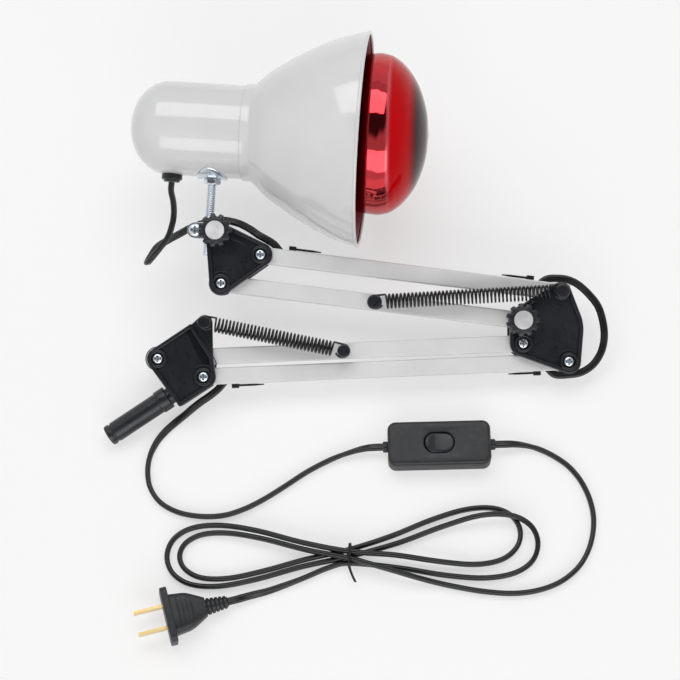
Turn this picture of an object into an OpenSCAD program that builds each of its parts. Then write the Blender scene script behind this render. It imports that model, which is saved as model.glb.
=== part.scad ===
// Infrared heat lamp on a folding double swing arm. It lies folded on a table,
// resting on the shade's rim, the base bracket and the elbow, with its lead beside it.
// Units are millimetres. "Arm plane" coordinates have x along the folded arm, y across it
// and z out of it; lie() tips that plane so that the three resting points touch z = 0.

/* [Arm] */
// Distance between the two pivots of a lower rod
lower_arm_len = 218; // [180:1:300]
// Distance between the two pivots of an upper rod
upper_arm_len = 180.5; // [170:0.5:215]
// Distance between the lower rods' pivots on the base bracket
lower_pivot_gap = 29.3; // [28:0.1:33]
// Distance between the upper rods' pivots on the head bracket
upper_pivot_gap = 29; // [26:0.1:31]
// Angle of the lower rods in the arm plane
lower_arm_angle = 2.4; // [1.5:0.1:6]
// Angle of the upper rods in the arm plane
upper_arm_angle = -7; // [-9:0.1:-6]
// Angle of the line through the base bracket's pivots
lower_pivot_angle = -21.7; // [-26:0.1:-21]
// Angle of the line through the head bracket's pivots
upper_pivot_angle = 36; // [32:0.1:40]
// Side of the square rods
rod_side = 10; // [9:0.1:10.4]
// Wall of the square rods
rod_wall = 0.8; // [0.5:0.1:1.2]
// Corner radius of the square rods
rod_corner = 1; // [0.9:0.1:1.6]
// How far a rod runs on past its pivot
rod_tail = 5.4; // [4.5:0.1:6]

/* [Brackets] */
// Gap between a rod's side and a bracket cover
rod_gap = 0.3; // [0.2:0.05:0.5]
// Thickness of a bracket cover's floor
cover_floor = 2; // [1.5:0.1:2.6]
// Height of a bracket cover's raised border
cover_rim = 2; // [1.2:0.1:2.6]
// Width of a bracket cover's raised border
border_w = 3.2; // [2:0.1:3.6]
// Outer radius of the bosses round the pivot screws
boss_r = 5.4; // [4.8:0.1:5.8]
// Radius of the recess that a screw head sits in
recess_r = 3.9; // [3.6:0.05:4.3]
// Radius of the pivot screws
screw_r = 2; // [1.6:0.1:2.4]
// Radius of a pivot screw's head
screw_head_r = 3.1; // [2.8:0.1:3.4]
// Height of a pivot screw's head
screw_head_h = 1.7; // [1.2:0.1:2]
// Width across flats of the hexagon nuts
nut_flats = 6.8; // [6:0.1:7]
// Height of the hexagon nuts
nut_h = 1.9; // [1.2:0.1:2]
// Running clearance of a pivot in its hole
pivot_play = 0.06; // [0.03:0.01:0.09]

/* [Spigot] */
// Radius of the mounting spigot
spigot_r = 6.3; // [5.5:0.1:7]
// Length of the spigot below its collar
spigot_len = 46; // [30:1:60]
// Direction of the spigot in the arm plane
spigot_angle = 213.5; // [208:0.5:220]
// Length of the collar between bracket and spigot
collar_len = 6.5; // [3:0.5:9]
// Radius of the collar
collar_r = 7; // [6.8:0.1:7.6]

/* [Head] */
// Tilt of the head in the arm plane
head_tilt = -4; // [-5:0.5:10]
// Turn of the head about its stem, towards the front
head_turn = 4; // [-10:1:20]
// Radius of the neck cup, outside
neck_r = 28; // [26:0.5:28.5]
// Length of the neck cup ahead of the stem
neck_front = 23; // [21:0.5:26]
// Length of the neck cup behind the stem, to the end of its dome
neck_back = 51; // [49:0.5:56]
// Depth of the neck cup's dome
dome_depth = 23; // [18:0.5:26]
// Thickness of the sheet that the cup and the shade are spun from
sheet_t = 1; // [0.7:0.1:1.3]
// Radius of the shade's rim
rim_r = 63.8; // [62:0.2:70]
// Length of the shade from its collar to the rim
shade_len = 66; // [63:0.5:72]
// Radius of the rolled bead on the shade's rim
bead_r = 1.2; // [0.8:0.1:1.6]
// How far out of line the lamp holder sits in the neck
holder_cock = 2.2; // [0:0.1:2.5]

/* [Bulb] */
// Largest radius of the bulb
bulb_r = 47.8; // [45:0.1:49]
// Distance from the stem to the bulb's front
bulb_front = 127.7; // [124:0.1:132]
// Wall of the bulb's glass
glass_t = 1.2; // [0.8:0.1:1.6]
// Outer radius of the bulb's screw cap
cap_r = 13.1; // [12.8:0.05:13.2]
// Outer radius of the ceramic lamp holder
holder_r = 19; // [17:0.5:20]

/* [Stem and knobs] */
// Radius of the stem that carries the head
stem_r = 2.8; // [2.2:0.1:3]
// Distance from the neck's axis down to the level of the tilt bolt
stem_drop = 60.6; // [58:0.2:66]
// How far the stem runs on below the tilt bolt
stem_tail = 14.5; // [8:0.5:16]
// Gap between the stem and the tilt bolt that it passes
stem_gap = 0.15; // [0.1:0.05:0.4]
// Thickness of the zinc clamp's sheet
clamp_t = 1.5; // [1:0.1:1.8]
// Distance between the clamp's screw and the tilt bolt
clamp_pitch = 12.8; // [11.5:0.1:14]
// Outer radius of the knobs
knob_r = 10; // [8.6:0.1:10.6]
// Height of the knobs
knob_h = 9; // [7:0.5:12]
// Number of lobes on a knob
knob_lobes = 11; // [8:1:14]
// Radius of a knob's pale cap
knob_cap_r = 5.6; // [4.5:0.1:6]

/* [Springs] */
// Thickness of the spring wire
wire_d = 1.2; // [1:0.05:1.3]
// Outer diameter of the springs
spring_d = 9.3; // [8.6:0.1:9.8]
// Turns of the lower spring
lower_turns = 33; // [20:1:36]
// Turns of the upper spring
upper_turns = 43; // [25:1:48]
// Radius of the spring posts
post_r = 2.4; // [2:0.1:2.6]
// Distance of the lower spring's post from the base pivot
lower_post_at = 111; // [104:0.5:116]
// Distance of the upper spring's post from the head pivot
upper_post_at = 92; // [84:0.5:96]

/* [Lead] */
// Width of the flat twin lead
lead_w = 4.6; // [4.2:0.1:5]
// Thickness of the flat twin lead
lead_t = 3; // [2.6:0.1:3.2]

/* [Switch] */
// Length of the inline switch's body
switch_l = 61; // [54:1:64]
// Width of the inline switch's body
switch_w = 27; // [22:0.5:30]
// Height of the inline switch's body
switch_h = 14; // [13:0.5:16]
// Length of the oval rocker
rocker_l = 17.6; // [14:0.2:20]
// Width of the oval rocker
rocker_w = 12.2; // [10:0.2:14]
// Angle that the rocker tilts through, from one side to the other
rocker_throw = 14; // [8:1:16]

/* [Plug] */
// Width of the plug's flange
flange_w = 32.6; // [26:0.2:36]
// Height of the plug's flange
flange_h = 18; // [17:0.2:20]
// Thickness of the plug's flange
flange_t = 4; // [3:0.5:5]
// Distance between the centres of the plug's blades
blade_pitch = 12.7; // [11:0.1:14]
// Width of a blade
blade_w = 6.3; // [5:0.1:7]
// Thickness of a blade
blade_t = 1.5; // [1.2:0.1:2]
// Length of a blade outside the flange
blade_l = 17; // [14:0.5:20]

/* [Hidden] */
$fn = 64;

black = [0.13, 0.13, 0.15];
rod_white = [0.92, 0.92, 0.93];
enamel = [0.93, 0.93, 0.94];
zinc = [0.74, 0.76, 0.78];
knob_grey = [0.86, 0.86, 0.86];
ruby = [0.75, 0.02, 0.10];
brass = [0.80, 0.66, 0.34];
ceramic = [0.93, 0.92, 0.88];

// Plane geometry
function dir(a) = [cos(a), sin(a)];
function unit(v) = v / norm(v);
function xy(p) = [p.x, p.y];

// Direction of the outward normal of the line that touches two corner circles [x, y, r]
function edge_normal(p, q) =
    atan2(q.y - p.y, q.x - p.x) - 90 + asin((p.z - q.z) / norm(xy(q) - xy(p)));
function turn(a, b) = a + (b - a) - 360 * floor((b - a) / 360);

// Outline round a counter-clockwise list of corner circles
function outline(c) = [
    for (i = [0:len(c) - 1])
        let (p = c[(i + len(c) - 1) % len(c)], q = c[i], s = c[(i + 1) % len(c)])
        let (a = edge_normal(p, q), b = turn(a, edge_normal(q, s)))
        let (n = max(2, ceil((b - a) / 12)))
        for (k = [0:n]) xy(q) + q.z * dir(a + (b - a) * k / n)
];

// The same corner circles with every edge moved inwards by w
function inset(c, w, least = 0.5) = [
    for (i = [0:len(c) - 1])
        let (p = c[(i + len(c) - 1) % len(c)], q = c[i], s = c[(i + 1) % len(c)])
        let (n1 = dir(edge_normal(p, q)), n2 = dir(edge_normal(q, s)))
        let (m = -(w + least - q.z) * (n1 + n2) / (1 + n1 * n2))
        q.z - w >= least ? [q.x, q.y, q.z - w] : [q.x + m.x, q.y + m.y, least]
];
function at(p, r) = [p.x, p.y, r];

// Smooth curve through points, n steps from each to the next
function smooth(p, n) = concat([
    for (i = [0:len(p) - 2], k = [0:n - 1])
        let (t = k / n, b = p[i], c = p[i + 1])
        let (a = i == 0 ? 2 * b - c : p[i - 1], d = i == len(p) - 2 ? 2 * c - b : p[i + 2])
        0.5 * (2 * b + (c - a) * t + (2 * a - 5 * b + 4 * c - d) * t * t
            + (3 * b - a - 3 * c + d) * t * t * t)
], [p[len(p) - 1]]);

// A profile moved along its own normals by t
function shifted(p, t) = [
    for (i = [0:len(p) - 1])
        let (d = unit(p[min(i + 1, len(p) - 1)] - p[max(i - 1, 0)]))
        p[i] + t * [-d.y, d.x]
];
function reversed(p) = [for (i = [len(p) - 1:-1:0]) p[i]];

// Pivots in the arm plane: p on the base, q on the elbow's lower side,
// e on the elbow's upper side, h on the head bracket
p2 = [-81.4, -22];
p1 = p2 - lower_pivot_gap * dir(lower_pivot_angle);
q2 = p2 + lower_arm_len * dir(lower_arm_angle);
q1 = p1 + lower_arm_len * dir(lower_arm_angle);
elbow_rise = [-4.7, 41.7];
e1 = q2 + elbow_rise;
e2 = e1 - upper_pivot_gap * dir(upper_pivot_angle);
h1 = e1 - upper_arm_len * dir(upper_arm_angle);
h2 = e2 - upper_arm_len * dir(upper_arm_angle);
tilt_at = h1 + [-26.4, 14];
stem_offset = screw_r + stem_r + stem_gap;
head_at = tilt_at - stem_offset * dir(head_tilt) + stem_drop * dir(head_tilt + 90);

// Heights in the arm plane
cover_in = rod_side / 2 + rod_gap;
cover_out = cover_in + cover_floor + cover_rim;

// Spring posts, which hold the springs just clear of the brackets' panels
spring_play = 0.25;
spring_z = cover_in + cover_floor + spring_d / 2 + spring_play;
base_post_at = p2 + [0.8, 32.4];
lower_post = p1 + lower_post_at * dir(lower_arm_angle);
upper_post = h2 + upper_post_at * dir(upper_arm_angle);
coil_r = (spring_d - wire_d) / 2;

// Bracket outlines as corner circles, counter-clockwise
base_shape = [
    at(p2, 7.4), at(p2 + [1.8, 10.5], 4), at(p2 + [-7.5, 30.6], 0.9),
    at(p1, 6.4), at(p2 + [-13.7, -16.4], 1.2)
];
base_arm_shape = [
    at(p2 + [1.8, 10.5], 4), at(base_post_at, 4.6), at(p2 + [-9, 27.5], 1.5)
];
elbow_shape = [
    at(q2, 7), at(q2 + [-16.5, 19], 25), at(e1, 5.8), at(e2, 7.2), at(q1, 8)
];
head_shape = [
    at(h2, 6.9), at(h1, 7.2), at(tilt_at, 6.2)
];

// Start of the spigot's axis inside the bracket, and the bevel on its tip
spigot_root = p2 - 1.8 * dir(spigot_angle + 90) + 21.5 * dir(spigot_angle);
spigot_edge = 0.6;
// How far the rolled bead's centre lies inside the rim
bead_sink = bead_r * 0.4;

// Resting plane of the folded lamp: lowest points of the spigot's tip, the elbow's corner
// and the rim for a given upward direction, then the normal of the plane through them
head_axis = [cos(head_tilt) * cos(head_turn), sin(head_tilt) * cos(head_turn), sin(head_turn)];
rim_x = neck_front + shade_len;
rim_at = [head_at.x, head_at.y, 0] + rim_x * head_axis;
function low_corner(c, n) =
    let (d = unit([n.x, n.y])) [c.x - c.z * d.x, c.y - c.z * d.y, -cover_out];
function across(n, axis) = unit(n - (n * axis) * axis);
function low_spigot(n) =
    let (a = dir(spigot_angle), tip = spigot_root + (spigot_len - spigot_edge) * a)
    [tip.x, tip.y, 0] - spigot_r * across(n, [a.x, a.y, 0]);
function low_rim(n) = rim_at - (rim_r - bead_sink) * across(n, head_axis) - bead_r * n;
function contacts(n) = [low_spigot(n), low_corner(elbow_shape[0], n), low_rim(n)];
function plane_normal(c) = unit(cross(c[1] - c[0], c[2] - c[0]));
function rest_normal(n, k) = k == 0 ? n : rest_normal(plane_normal(contacts(n)), k - 1);
up = rest_normal([0, 0.35, 0.93], 8);
lie_tilt = asin(up.y);
lie_roll = atan2(-up.x, up.z);
lie_drop = -(contacts(up)[0] * up);
lie_shift = [-9.4, -57];
echo(up = up, lie_tilt = lie_tilt, lie_roll = lie_roll, lie_drop = lie_drop);

module lie() {
    translate([lie_shift.x, lie_shift.y, lie_drop])
        rotate([lie_tilt, 0, 0])
        rotate([0, lie_roll, 0])
        children();
}

// Frames of the head: x along the lamp's axis to its mouth, y up the stem
module head_frame() {
    lie()
        translate([head_at.x, head_at.y, 0])
        rotate([0, 0, head_tilt])
        rotate([0, -head_turn, 0])
        children();
}

module holder_frame() {
    head_frame() rotate([0, 0, holder_cock]) children();
}

// A profile of [radius, x] points turned about the x axis
module turned(profile) {
    rotate([0, 90, 0]) rotate_extrude($fn = 96) polygon(profile);
}

module at_plane(p, z = 0) {
    translate([p.x, p.y, z]) children();
}

// Screw with its seat at z = 0 and its shank below it
module pan_screw(r, head_r, head_h, shank) {
    rotate_extrude()
        polygon([
            [0, -shank], [r, -shank], [r, 0], [head_r, 0], [head_r, head_h * 0.45],
            [head_r * 0.8, head_h * 0.85], [head_r * 0.45, head_h], [0, head_h]
        ]);
}

module hex_nut(flats, h, bore) {
    difference() {
        cylinder(r = flats / sqrt(3), h = h, $fn = 6);
        translate([0, 0, -1]) cylinder(r = bore, h = h + 2);
    }
}

// ---- Bracket covers ----
// One half of a bracket: floor, raised border and bosses, seen from the front
module cover(shape, pivots, hex, extra = []) {
    difference() {
        union() {
            translate([0, 0, cover_in])
                linear_extrude(cover_floor) polygon(outline(shape));
            translate([0, 0, cover_in + cover_floor - 0.01])
                linear_extrude(cover_rim + 0.01)
                difference() {
                    polygon(outline(shape));
                    polygon(outline(inset(shape, border_w)));
                }
            for (p = pivots)
                at_plane(p, cover_in) cylinder(r = boss_r, h = cover_floor + cover_rim);
            if (len(extra) > 0)
                translate([0, 0, cover_in])
                    linear_extrude(cover_floor) polygon(outline(extra));
        }
        for (p = pivots) {
            at_plane(p, cover_in - 1) cylinder(r = screw_r + 0.1, h = cover_floor + cover_rim + 2);
            if (hex)
                at_plane(p, cover_in + cover_floor)
                    cylinder(r = nut_flats / sqrt(3) + 0.12, h = cover_rim + 1, $fn = 6);
            else
                at_plane(p, cover_in + cover_floor) cylinder(r = recess_r, h = cover_rim + 1);
        }
    }
}

module front_cover(shape, pivots, extra = []) {
    cover(shape, pivots, false, extra);
}

module rear_cover(shape, pivots) {
    mirror([0, 0, 1]) cover(shape, pivots, true);
}

// Pivot screws from the front cover's floor to the nuts in the rear cover
module screws(pivots) {
    for (p = pivots)
        at_plane(p, cover_in + cover_floor)
            pan_screw(screw_r, screw_head_r, screw_head_h, 2 * cover_in + 2 * cover_floor + nut_h);
}

module nuts(pivots) {
    for (p = pivots)
        at_plane(p, -cover_in - cover_floor - nut_h)
            hex_nut(nut_flats, nut_h, screw_r);
}

// ---- Base ----
tongue_shape = [
    at(p2 + [-13.4, -14.4], 1.2), at(p2 + [-12.2, -8], 1),
    at(p2 + [-16, -1.5], 1), at(p2 + [-22.6, -1.4], 1)
];
peg_at = p2 + [-16.3, -8];
peg_r = 2.5;

module base_front_cover() {
    color(black) lie() difference() {
        front_cover(base_shape, [p1, p2], base_arm_shape);
        at_plane(base_post_at, cover_in - 1) cylinder(r = post_r, h = cover_floor + 2);
    }
}

module base_rear_cover() {
    color(black) lie() union() {
        rear_cover(base_shape, [p1, p2]);
        at_plane(peg_at, -cover_in) cylinder(r = peg_r, h = 2 * cover_in);
    }
}

module spigot() {
    color(black) lie() difference() {
        union() {
            translate([0, 0, -cover_in])
                linear_extrude(2 * cover_in) polygon(outline(tongue_shape));
            at_plane(spigot_root)
                rotate([0, 90, spigot_angle])
                rotate_extrude()
                polygon([
                    [0, -3], [5.2, -3], [5.2, 3.2], [collar_r, 3.2], [collar_r, 3.2 + collar_len],
                    [spigot_r, 3.7 + collar_len], [spigot_r, spigot_len - 4.6],
                    [spigot_r - 0.6, spigot_len - 4.2], [spigot_r - 0.6, spigot_len - 3.2],
                    [spigot_r, spigot_len - 2.8], [spigot_r, spigot_len - spigot_edge],
                    [spigot_r - spigot_edge, spigot_len], [0, spigot_len]
                ]);
        }
        at_plane(peg_at, -cover_in - 1) cylinder(r = peg_r + 0.08, h = 2 * cover_in + 2);
    }
}

module base_screws() {
    color(zinc) lie() screws([p1, p2]);
}

module base_nuts() {
    color(zinc) lie() nuts([p1, p2]);
}

// Headed post with a groove that holds a spring's hook; z = 0 is the spring's centre line
module spring_post(foot, cap_r_, head_r_) {
    rotate_extrude()
        polygon([
            [0, foot], [post_r, foot], [post_r, -2.6], [head_r_, -2.6], [head_r_, -1.5],
            [post_r, -1.2], [post_r, 1.2], [head_r_, 1.5], [head_r_, 2.4],
            [cap_r_, 3.4], [0, 3.4]
        ]);
}

module base_spring_post() {
    color(black) lie() at_plane(base_post_at, spring_z)
        spring_post(cover_in - spring_z + 0.1, 3.6, 4);
}

// ---- Rods ----
function rod_square(s, r) = outline([
    [s / 2 - r, -s / 2 + r, r], [s / 2 - r, s / 2 - r, r],
    [-s / 2 + r, s / 2 - r, r], [-s / 2 + r, -s / 2 + r, r]
]);

// Square tube from its first pivot at x = 0 to its second at x = length; slots lists the
// lead's slots as [x, side], side 1 for the upper wall and -1 for the lower one
lead_slot_l = 10;
module rod(length, slots = [], post_hole = 0) {
    difference() {
        translate([-rod_tail, 0, 0])
            rotate([90, 0, 90])
            linear_extrude(length + 2 * rod_tail)
            difference() {
                polygon(rod_square(rod_side, rod_corner));
                polygon(rod_square(rod_side - 2 * rod_wall, max(rod_corner - rod_wall, 0.15)));
            }
        for (x = [0, length])
            translate([x, 0, -rod_side]) cylinder(r = screw_r + pivot_play, h = 2 * rod_side);
        if (post_hole > 0)
            translate([post_hole, 0, -rod_side]) cylinder(r = post_r, h = 2 * rod_side);
        for (s = slots)
            translate([s.x - lead_slot_l / 2, s.y > 0 ? 1 : -rod_side, -lead_t / 2 - 0.3])
                cube([lead_slot_l, rod_side - 1, lead_t + 0.6]);
    }
}

module along(p, a) {
    lie() at_plane(p) rotate([0, 0, a]) children();
}

// Distances of the lead's slots from the rods' pivots
slot_near = 11;
upper_slots = [[slot_near, 1], [upper_arm_len - slot_near, 1]];
lower_slots = [[slot_near, -1], [lower_arm_len - slot_near, -1]];

module lower_rod_a() {
    color(rod_white) along(p1, lower_arm_angle) rod(lower_arm_len, [], lower_post_at);
}

module lower_rod_b() {
    color(rod_white) along(p2, lower_arm_angle) rod(lower_arm_len, lower_slots);
}

module upper_rod_a() {
    color(rod_white) along(h1, upper_arm_angle) rod(upper_arm_len, upper_slots);
}

module upper_rod_b() {
    color(rod_white) along(h2, upper_arm_angle) rod(upper_arm_len, [], upper_post_at);
}

module lower_rod_post() {
    color(black) lie() at_plane(lower_post, spring_z)
        spring_post(-rod_side / 2 - spring_z, 3.4, 3.9);
}

module upper_rod_post() {
    color(black) lie() at_plane(upper_post, spring_z)
        spring_post(-rod_side / 2 - spring_z, 3.9, 4.4);
}

// Cable tie drawn up on the lead where it enters a rod: head and tail on the rod's wall
tie_tail = 15;
tie_t = 1.3;
module rod_tie(x, side, way) {
    translate([x, side * rod_side / 2, 0]) {
        translate([-2.2, side > 0 ? 0 : -2.6, -2.2]) cube([4.4, 2.6, 4.4]);
        translate([way > 0 ? 2.19 : -2.19 - tie_tail, side > 0 ? 0.4 : -0.4 - tie_t, -1.2])
            cube([tie_tail, tie_t, 2.4]);
    }
}

tie_from_slot = lead_slot_l / 2 + 2.5;
module lower_rod_ties() {
    color(black) along(p2, lower_arm_angle) {
        rod_tie(slot_near + tie_from_slot, -1, 1);
        rod_tie(lower_arm_len - slot_near - tie_from_slot, -1, -1);
    }
}

module upper_rod_ties() {
    color(black) along(h1, upper_arm_angle) {
        rod_tie(slot_near + tie_from_slot, 1, 1);
        rod_tie(upper_arm_len - slot_near - tie_from_slot, 1, -1);
    }
}

// ---- Elbow ----
// Wall along the elbow's open right edge, half on each cover, clear of the rods' ends
module elbow_wall() {
    intersection() {
        linear_extrude(cover_in)
            difference() {
                polygon(outline(elbow_shape));
                polygon(outline(inset(elbow_shape, 1.6)));
            }
        translate([q2.x - 4, q2.y + 9, -1])
            cube([20, elbow_rise.y - 18, cover_in + 2]);
    }
}

// Gap in the rim through which the folded spring runs to its post
gate_l = 16;
module spring_gate() {
    gate_w = spring_d * 0.9;
    at_plane(e1, cover_in + cover_floor) rotate([0, 0, atan2(-upper_way.y, -upper_way.x)])
        translate([0, -gate_w / 2, 0]) cube([gate_l, gate_w, cover_rim + 1]);
}

module elbow_front_cover() {
    color(black) lie() difference() {
        union() {
            front_cover(elbow_shape, [q1, q2, e1, e2]);
            elbow_wall();
        }
        at_plane(e1, cover_in + cover_floor - 0.5) cylinder(r = 5.2, h = cover_rim + 1);
        at_plane(e2, cover_in + cover_floor - 0.5) cylinder(r = 5.2, h = cover_rim + 1);
        spring_gate();
    }
}

module elbow_rear_cover() {
    color(black) lie() union() {
        rear_cover(elbow_shape, [q1, q2, e1, e2]);
        mirror([0, 0, 1]) elbow_wall();
    }
}

module elbow_screws() {
    color(zinc) lie() screws([q1, q2]);
}

module elbow_nuts() {
    color(zinc) lie() nuts([q1, q2, e1, e2]);
}

// Bolt of the upper pivot, with a boss in the cover and the spring's post on its end
module elbow_spring_post() {
    color(black) lie() at_plane(e1, spring_z)
        rotate_extrude()
        let (
            end = -cover_in - cover_floor - nut_h - spring_z,
            seat = cover_in + cover_floor - 0.5 - spring_z
        )
        polygon([
            [0, end], [screw_r, end], [screw_r, seat], [5, seat], [5, -1.7],
            [post_r, -1.3], [post_r, 1.2], [4.4, 1.5], [4.4, 2.6], [3.8, 3.4], [0, 3.4]
        ]);
}

knob_foot = cover_out + 0.3;
module elbow_knob_bolt() {
    color(zinc) lie() at_plane(e2, -cover_in - cover_floor - nut_h)
        cylinder(r = screw_r, h = cover_in + cover_floor + nut_h + knob_foot + knob_h - 2.5);
}

// Lobed knob standing on z = 0, with a blind bore from below and a seat for its cap
module knob() {
    skirt_h = 2;
    cap_h = 1.2;
    difference() {
        union() {
            cylinder(r = knob_cap_r + 1.4, h = knob_h);
            cylinder(r = knob_r - 1.6, h = skirt_h);
            translate([0, 0, skirt_h - 0.01])
                linear_extrude(knob_h - skirt_h - 1.2)
                polygon([
                    for (k = [0:knob_lobes * 10 - 1])
                        let (a = k * 36 / knob_lobes)
                        (knob_r - 0.9 + 0.9 * cos(a * knob_lobes)) * dir(a)
                ]);
        }
        translate([0, 0, -1]) cylinder(r = screw_r + pivot_play, h = knob_h - 1.3);
        translate([0, 0, knob_h - cap_h]) cylinder(r = knob_cap_r + 0.1, h = cap_h + 1);
    }
}

module knob_cap() {
    translate([0, 0, knob_h - 1.2])
        rotate_extrude()
        polygon([[0, 0], [knob_cap_r, 0], [knob_cap_r, 1.2], [knob_cap_r - 0.5, 1.7], [0, 1.9]]);
}

module elbow_knob() {
    color(black) lie() at_plane(e2, knob_foot) knob();
}

module elbow_knob_cap() {
    color(knob_grey) lie() at_plane(e2, knob_foot) knob_cap();
}

// ---- Head bracket ----
module head_bracket_front() {
    color(black) lie() front_cover(head_shape, [h1, h2, tilt_at]);
}

module head_bracket_rear() {
    color(black) lie() rear_cover(head_shape, [h1, h2, tilt_at]);
}

module head_bracket_screws() {
    color(zinc) lie() screws([h1, h2]);
}

module head_bracket_nuts() {
    color(zinc) lie() nuts([h1, h2]);
}

// Bolt with a hexagon head in the rear cover, through both covers into the knob
module tilt_bolt() {
    color(zinc) lie() at_plane(tilt_at, -cover_in - cover_floor - nut_h) {
        cylinder(r = nut_flats / sqrt(3), h = nut_h, $fn = 6);
        cylinder(r = screw_r, h = cover_in + cover_floor + nut_h + knob_foot + knob_h - 2.5);
    }
}

module tilt_knob() {
    color(black) lie() at_plane(tilt_at, knob_foot) knob();
}

module tilt_knob_cap() {
    color(knob_grey) lie() at_plane(tilt_at, knob_foot) knob_cap();
}

// ---- Stem clamp: two zinc cheeks either side of the stem, folded together beyond the
// clamp screw, turning on the tilt bolt ----
cheek_in = stem_r + 0.05;
cheek_out = cheek_in + clamp_t;
clamp_reach = clamp_pitch + 5.5;

module clamp_cheek() {
    difference() {
        linear_extrude(clamp_t)
            polygon(outline([[0, 0, 5], [-clamp_reach + 1.5, 4.6, 1], [-clamp_reach + 1.5, -4.6, 1]]));
        translate([0, 0, -1]) cylinder(r = screw_r + pivot_play, h = clamp_t + 2);
        translate([-clamp_pitch, 0, -1]) cylinder(r = 1.6, h = clamp_t + 2);
    }
}

module stem_clamp() {
    color(zinc) along(tilt_at, head_tilt) {
        translate([0, 0, cheek_in]) clamp_cheek();
        translate([0, 0, -cheek_out]) clamp_cheek();
        translate([-clamp_reach - 0.4, -5.2, -cheek_out]) cube([1.5, 10.4, 2 * cheek_out]);
    }
}

module clamp_screw() {
    color(zinc) along(tilt_at, head_tilt) {
        translate([-clamp_pitch, 0, cheek_out]) pan_screw(1.55, 3.8, 2.2, 2 * cheek_out + 2.4);
        translate([-clamp_pitch, 0, -cheek_out - 2.2]) hex_nut(5.5, 2.2, 1.55);
    }
}

// ---- Head ----
stem_top = -neck_r + sheet_t + 6.2;
module stem() {
    color(zinc) head_frame() translate([0, -stem_drop - stem_tail, 0])
        rotate([-90, 0, 0])
        cylinder(r = stem_r, h = stem_top + stem_drop + stem_tail);
}

module saddle_plate() {
    color(zinc) head_frame() difference() {
        intersection() {
            rotate([0, 90, 0]) translate([0, 0, -20]) cylinder(r = neck_r + 1.35, h = 40);
            rotate([90, 0, 0])
                linear_extrude(neck_r + 5)
                polygon([for (a = [0:10:350]) [9 * cos(a), 16 * sin(a)]]);
        }
        rotate([0, 90, 0]) translate([0, 0, -25]) cylinder(r = neck_r + 0.05, h = 50);
        rotate([90, 0, 0]) cylinder(r = stem_r + 0.1, h = 40);
    }
}

// Nut outside under the saddle plate and nut inside on the holder's bracket
foot_low = -sqrt((neck_r - sheet_t) * (neck_r - sheet_t) - 36) + 0.1;
foot_t = 1.2;
module stem_nuts() {
    color(zinc) head_frame() {
        translate([0, -neck_r - 1.35 - 3, 0]) rotate([-90, 0, 0]) hex_nut(9, 3, stem_r);
        translate([0, foot_low + foot_t, 0]) rotate([-90, 0, 0]) hex_nut(9, 3, stem_r);
    }
}

// Neck cup: straight wall and a dome, with holes for the stem and the lead's grommet
grommet_x = -24.5;
grommet_r = 4.2;
grommet_out = 4.6;
module neck_cup() {
    arc = [
        for (a = [0:5:90])
            [neck_r * sin(a), -neck_back + dome_depth * (1 - cos(a))]
    ];
    outer = concat(arc, [[neck_r, neck_front]]);
    inner_r = neck_r - sheet_t;
    inner = concat([
        for (a = [0:5:90])
            [inner_r * sin(a), -neck_back + dome_depth - (dome_depth - sheet_t) * cos(a)]
    ], [[inner_r, neck_front]]);
    color(enamel) head_frame() difference() {
        turned(concat(outer, reversed(inner)));
        rotate([90, 0, 0]) cylinder(r = stem_r + 0.15, h = neck_r + 5);
        translate([grommet_x, 0, 0]) rotate([90, 0, 0]) cylinder(r = grommet_r + 0.1, h = neck_r + 5);
    }
}

// Bell shade: a collar over the neck, a flaring bell and a rolled bead
flare = rim_r - neck_r - sheet_t;
shade_shape = smooth([
    [neck_r + sheet_t, neck_front], [neck_r + sheet_t + flare * 0.10, neck_front + shade_len * 0.06],
    [neck_r + sheet_t + flare * 0.25, neck_front + shade_len * 0.15],
    [neck_r + sheet_t + flare * 0.40, neck_front + shade_len * 0.27],
    [neck_r + sheet_t + flare * 0.575, neck_front + shade_len * 0.42],
    [neck_r + sheet_t + flare * 0.725, neck_front + shade_len * 0.57],
    [neck_r + sheet_t + flare * 0.85, neck_front + shade_len * 0.72],
    [neck_r + sheet_t + flare * 0.945, neck_front + shade_len * 0.87],
    [rim_r, neck_front + shade_len]
], 3);

module bell_shade() {
    collar = [neck_r + sheet_t, neck_front - 5];
    outer = concat([collar], shade_shape);
    inner = concat([[neck_r + 0.04, neck_front - 5], [neck_r + 0.04, neck_front - 0.2]],
        [for (i = [1:len(shade_shape) - 1]) shifted(shade_shape, sheet_t)[i]]);
    color(enamel) head_frame() union() {
        turned(concat(outer, reversed(inner)));
        rotate([0, 90, 0]) translate([0, 0, rim_x])
            rotate_extrude($fn = 96) translate([rim_r - bead_sink, 0])
            circle(r = bead_r, $fn = 20);
    }
}

// ---- Lamp holder and bulb ----
holder_back = -16.6;
bracket_at = -18.4;
holder_boss = bracket_at + 0.4;
holder_front = 21;
holder_bore = 14.2;
holder_mouth = 15.4;
shell_r = 13.9;

module lamp_holder() {
    color(ceramic) holder_frame()
        turned([
            [0, holder_boss], [5, holder_boss], [5, holder_back],
            [holder_r - 3, holder_back], [holder_r - 3, -8], [holder_r, -6],
            [holder_r, 14], [holder_r - 1.5, holder_front], [holder_mouth, holder_front],
            [holder_mouth, 17.4], [holder_bore, 17], [holder_bore, -9], [0, -9]
        ]);
}

module holder_shell() {
    color(brass) holder_frame()
        turned([
            [3, -8.9], [shell_r, -8.9], [shell_r, 17], [shell_r - 0.5, 17],
            [shell_r - 0.5, -8.3], [3, -8.3]
        ]);
}

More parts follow.
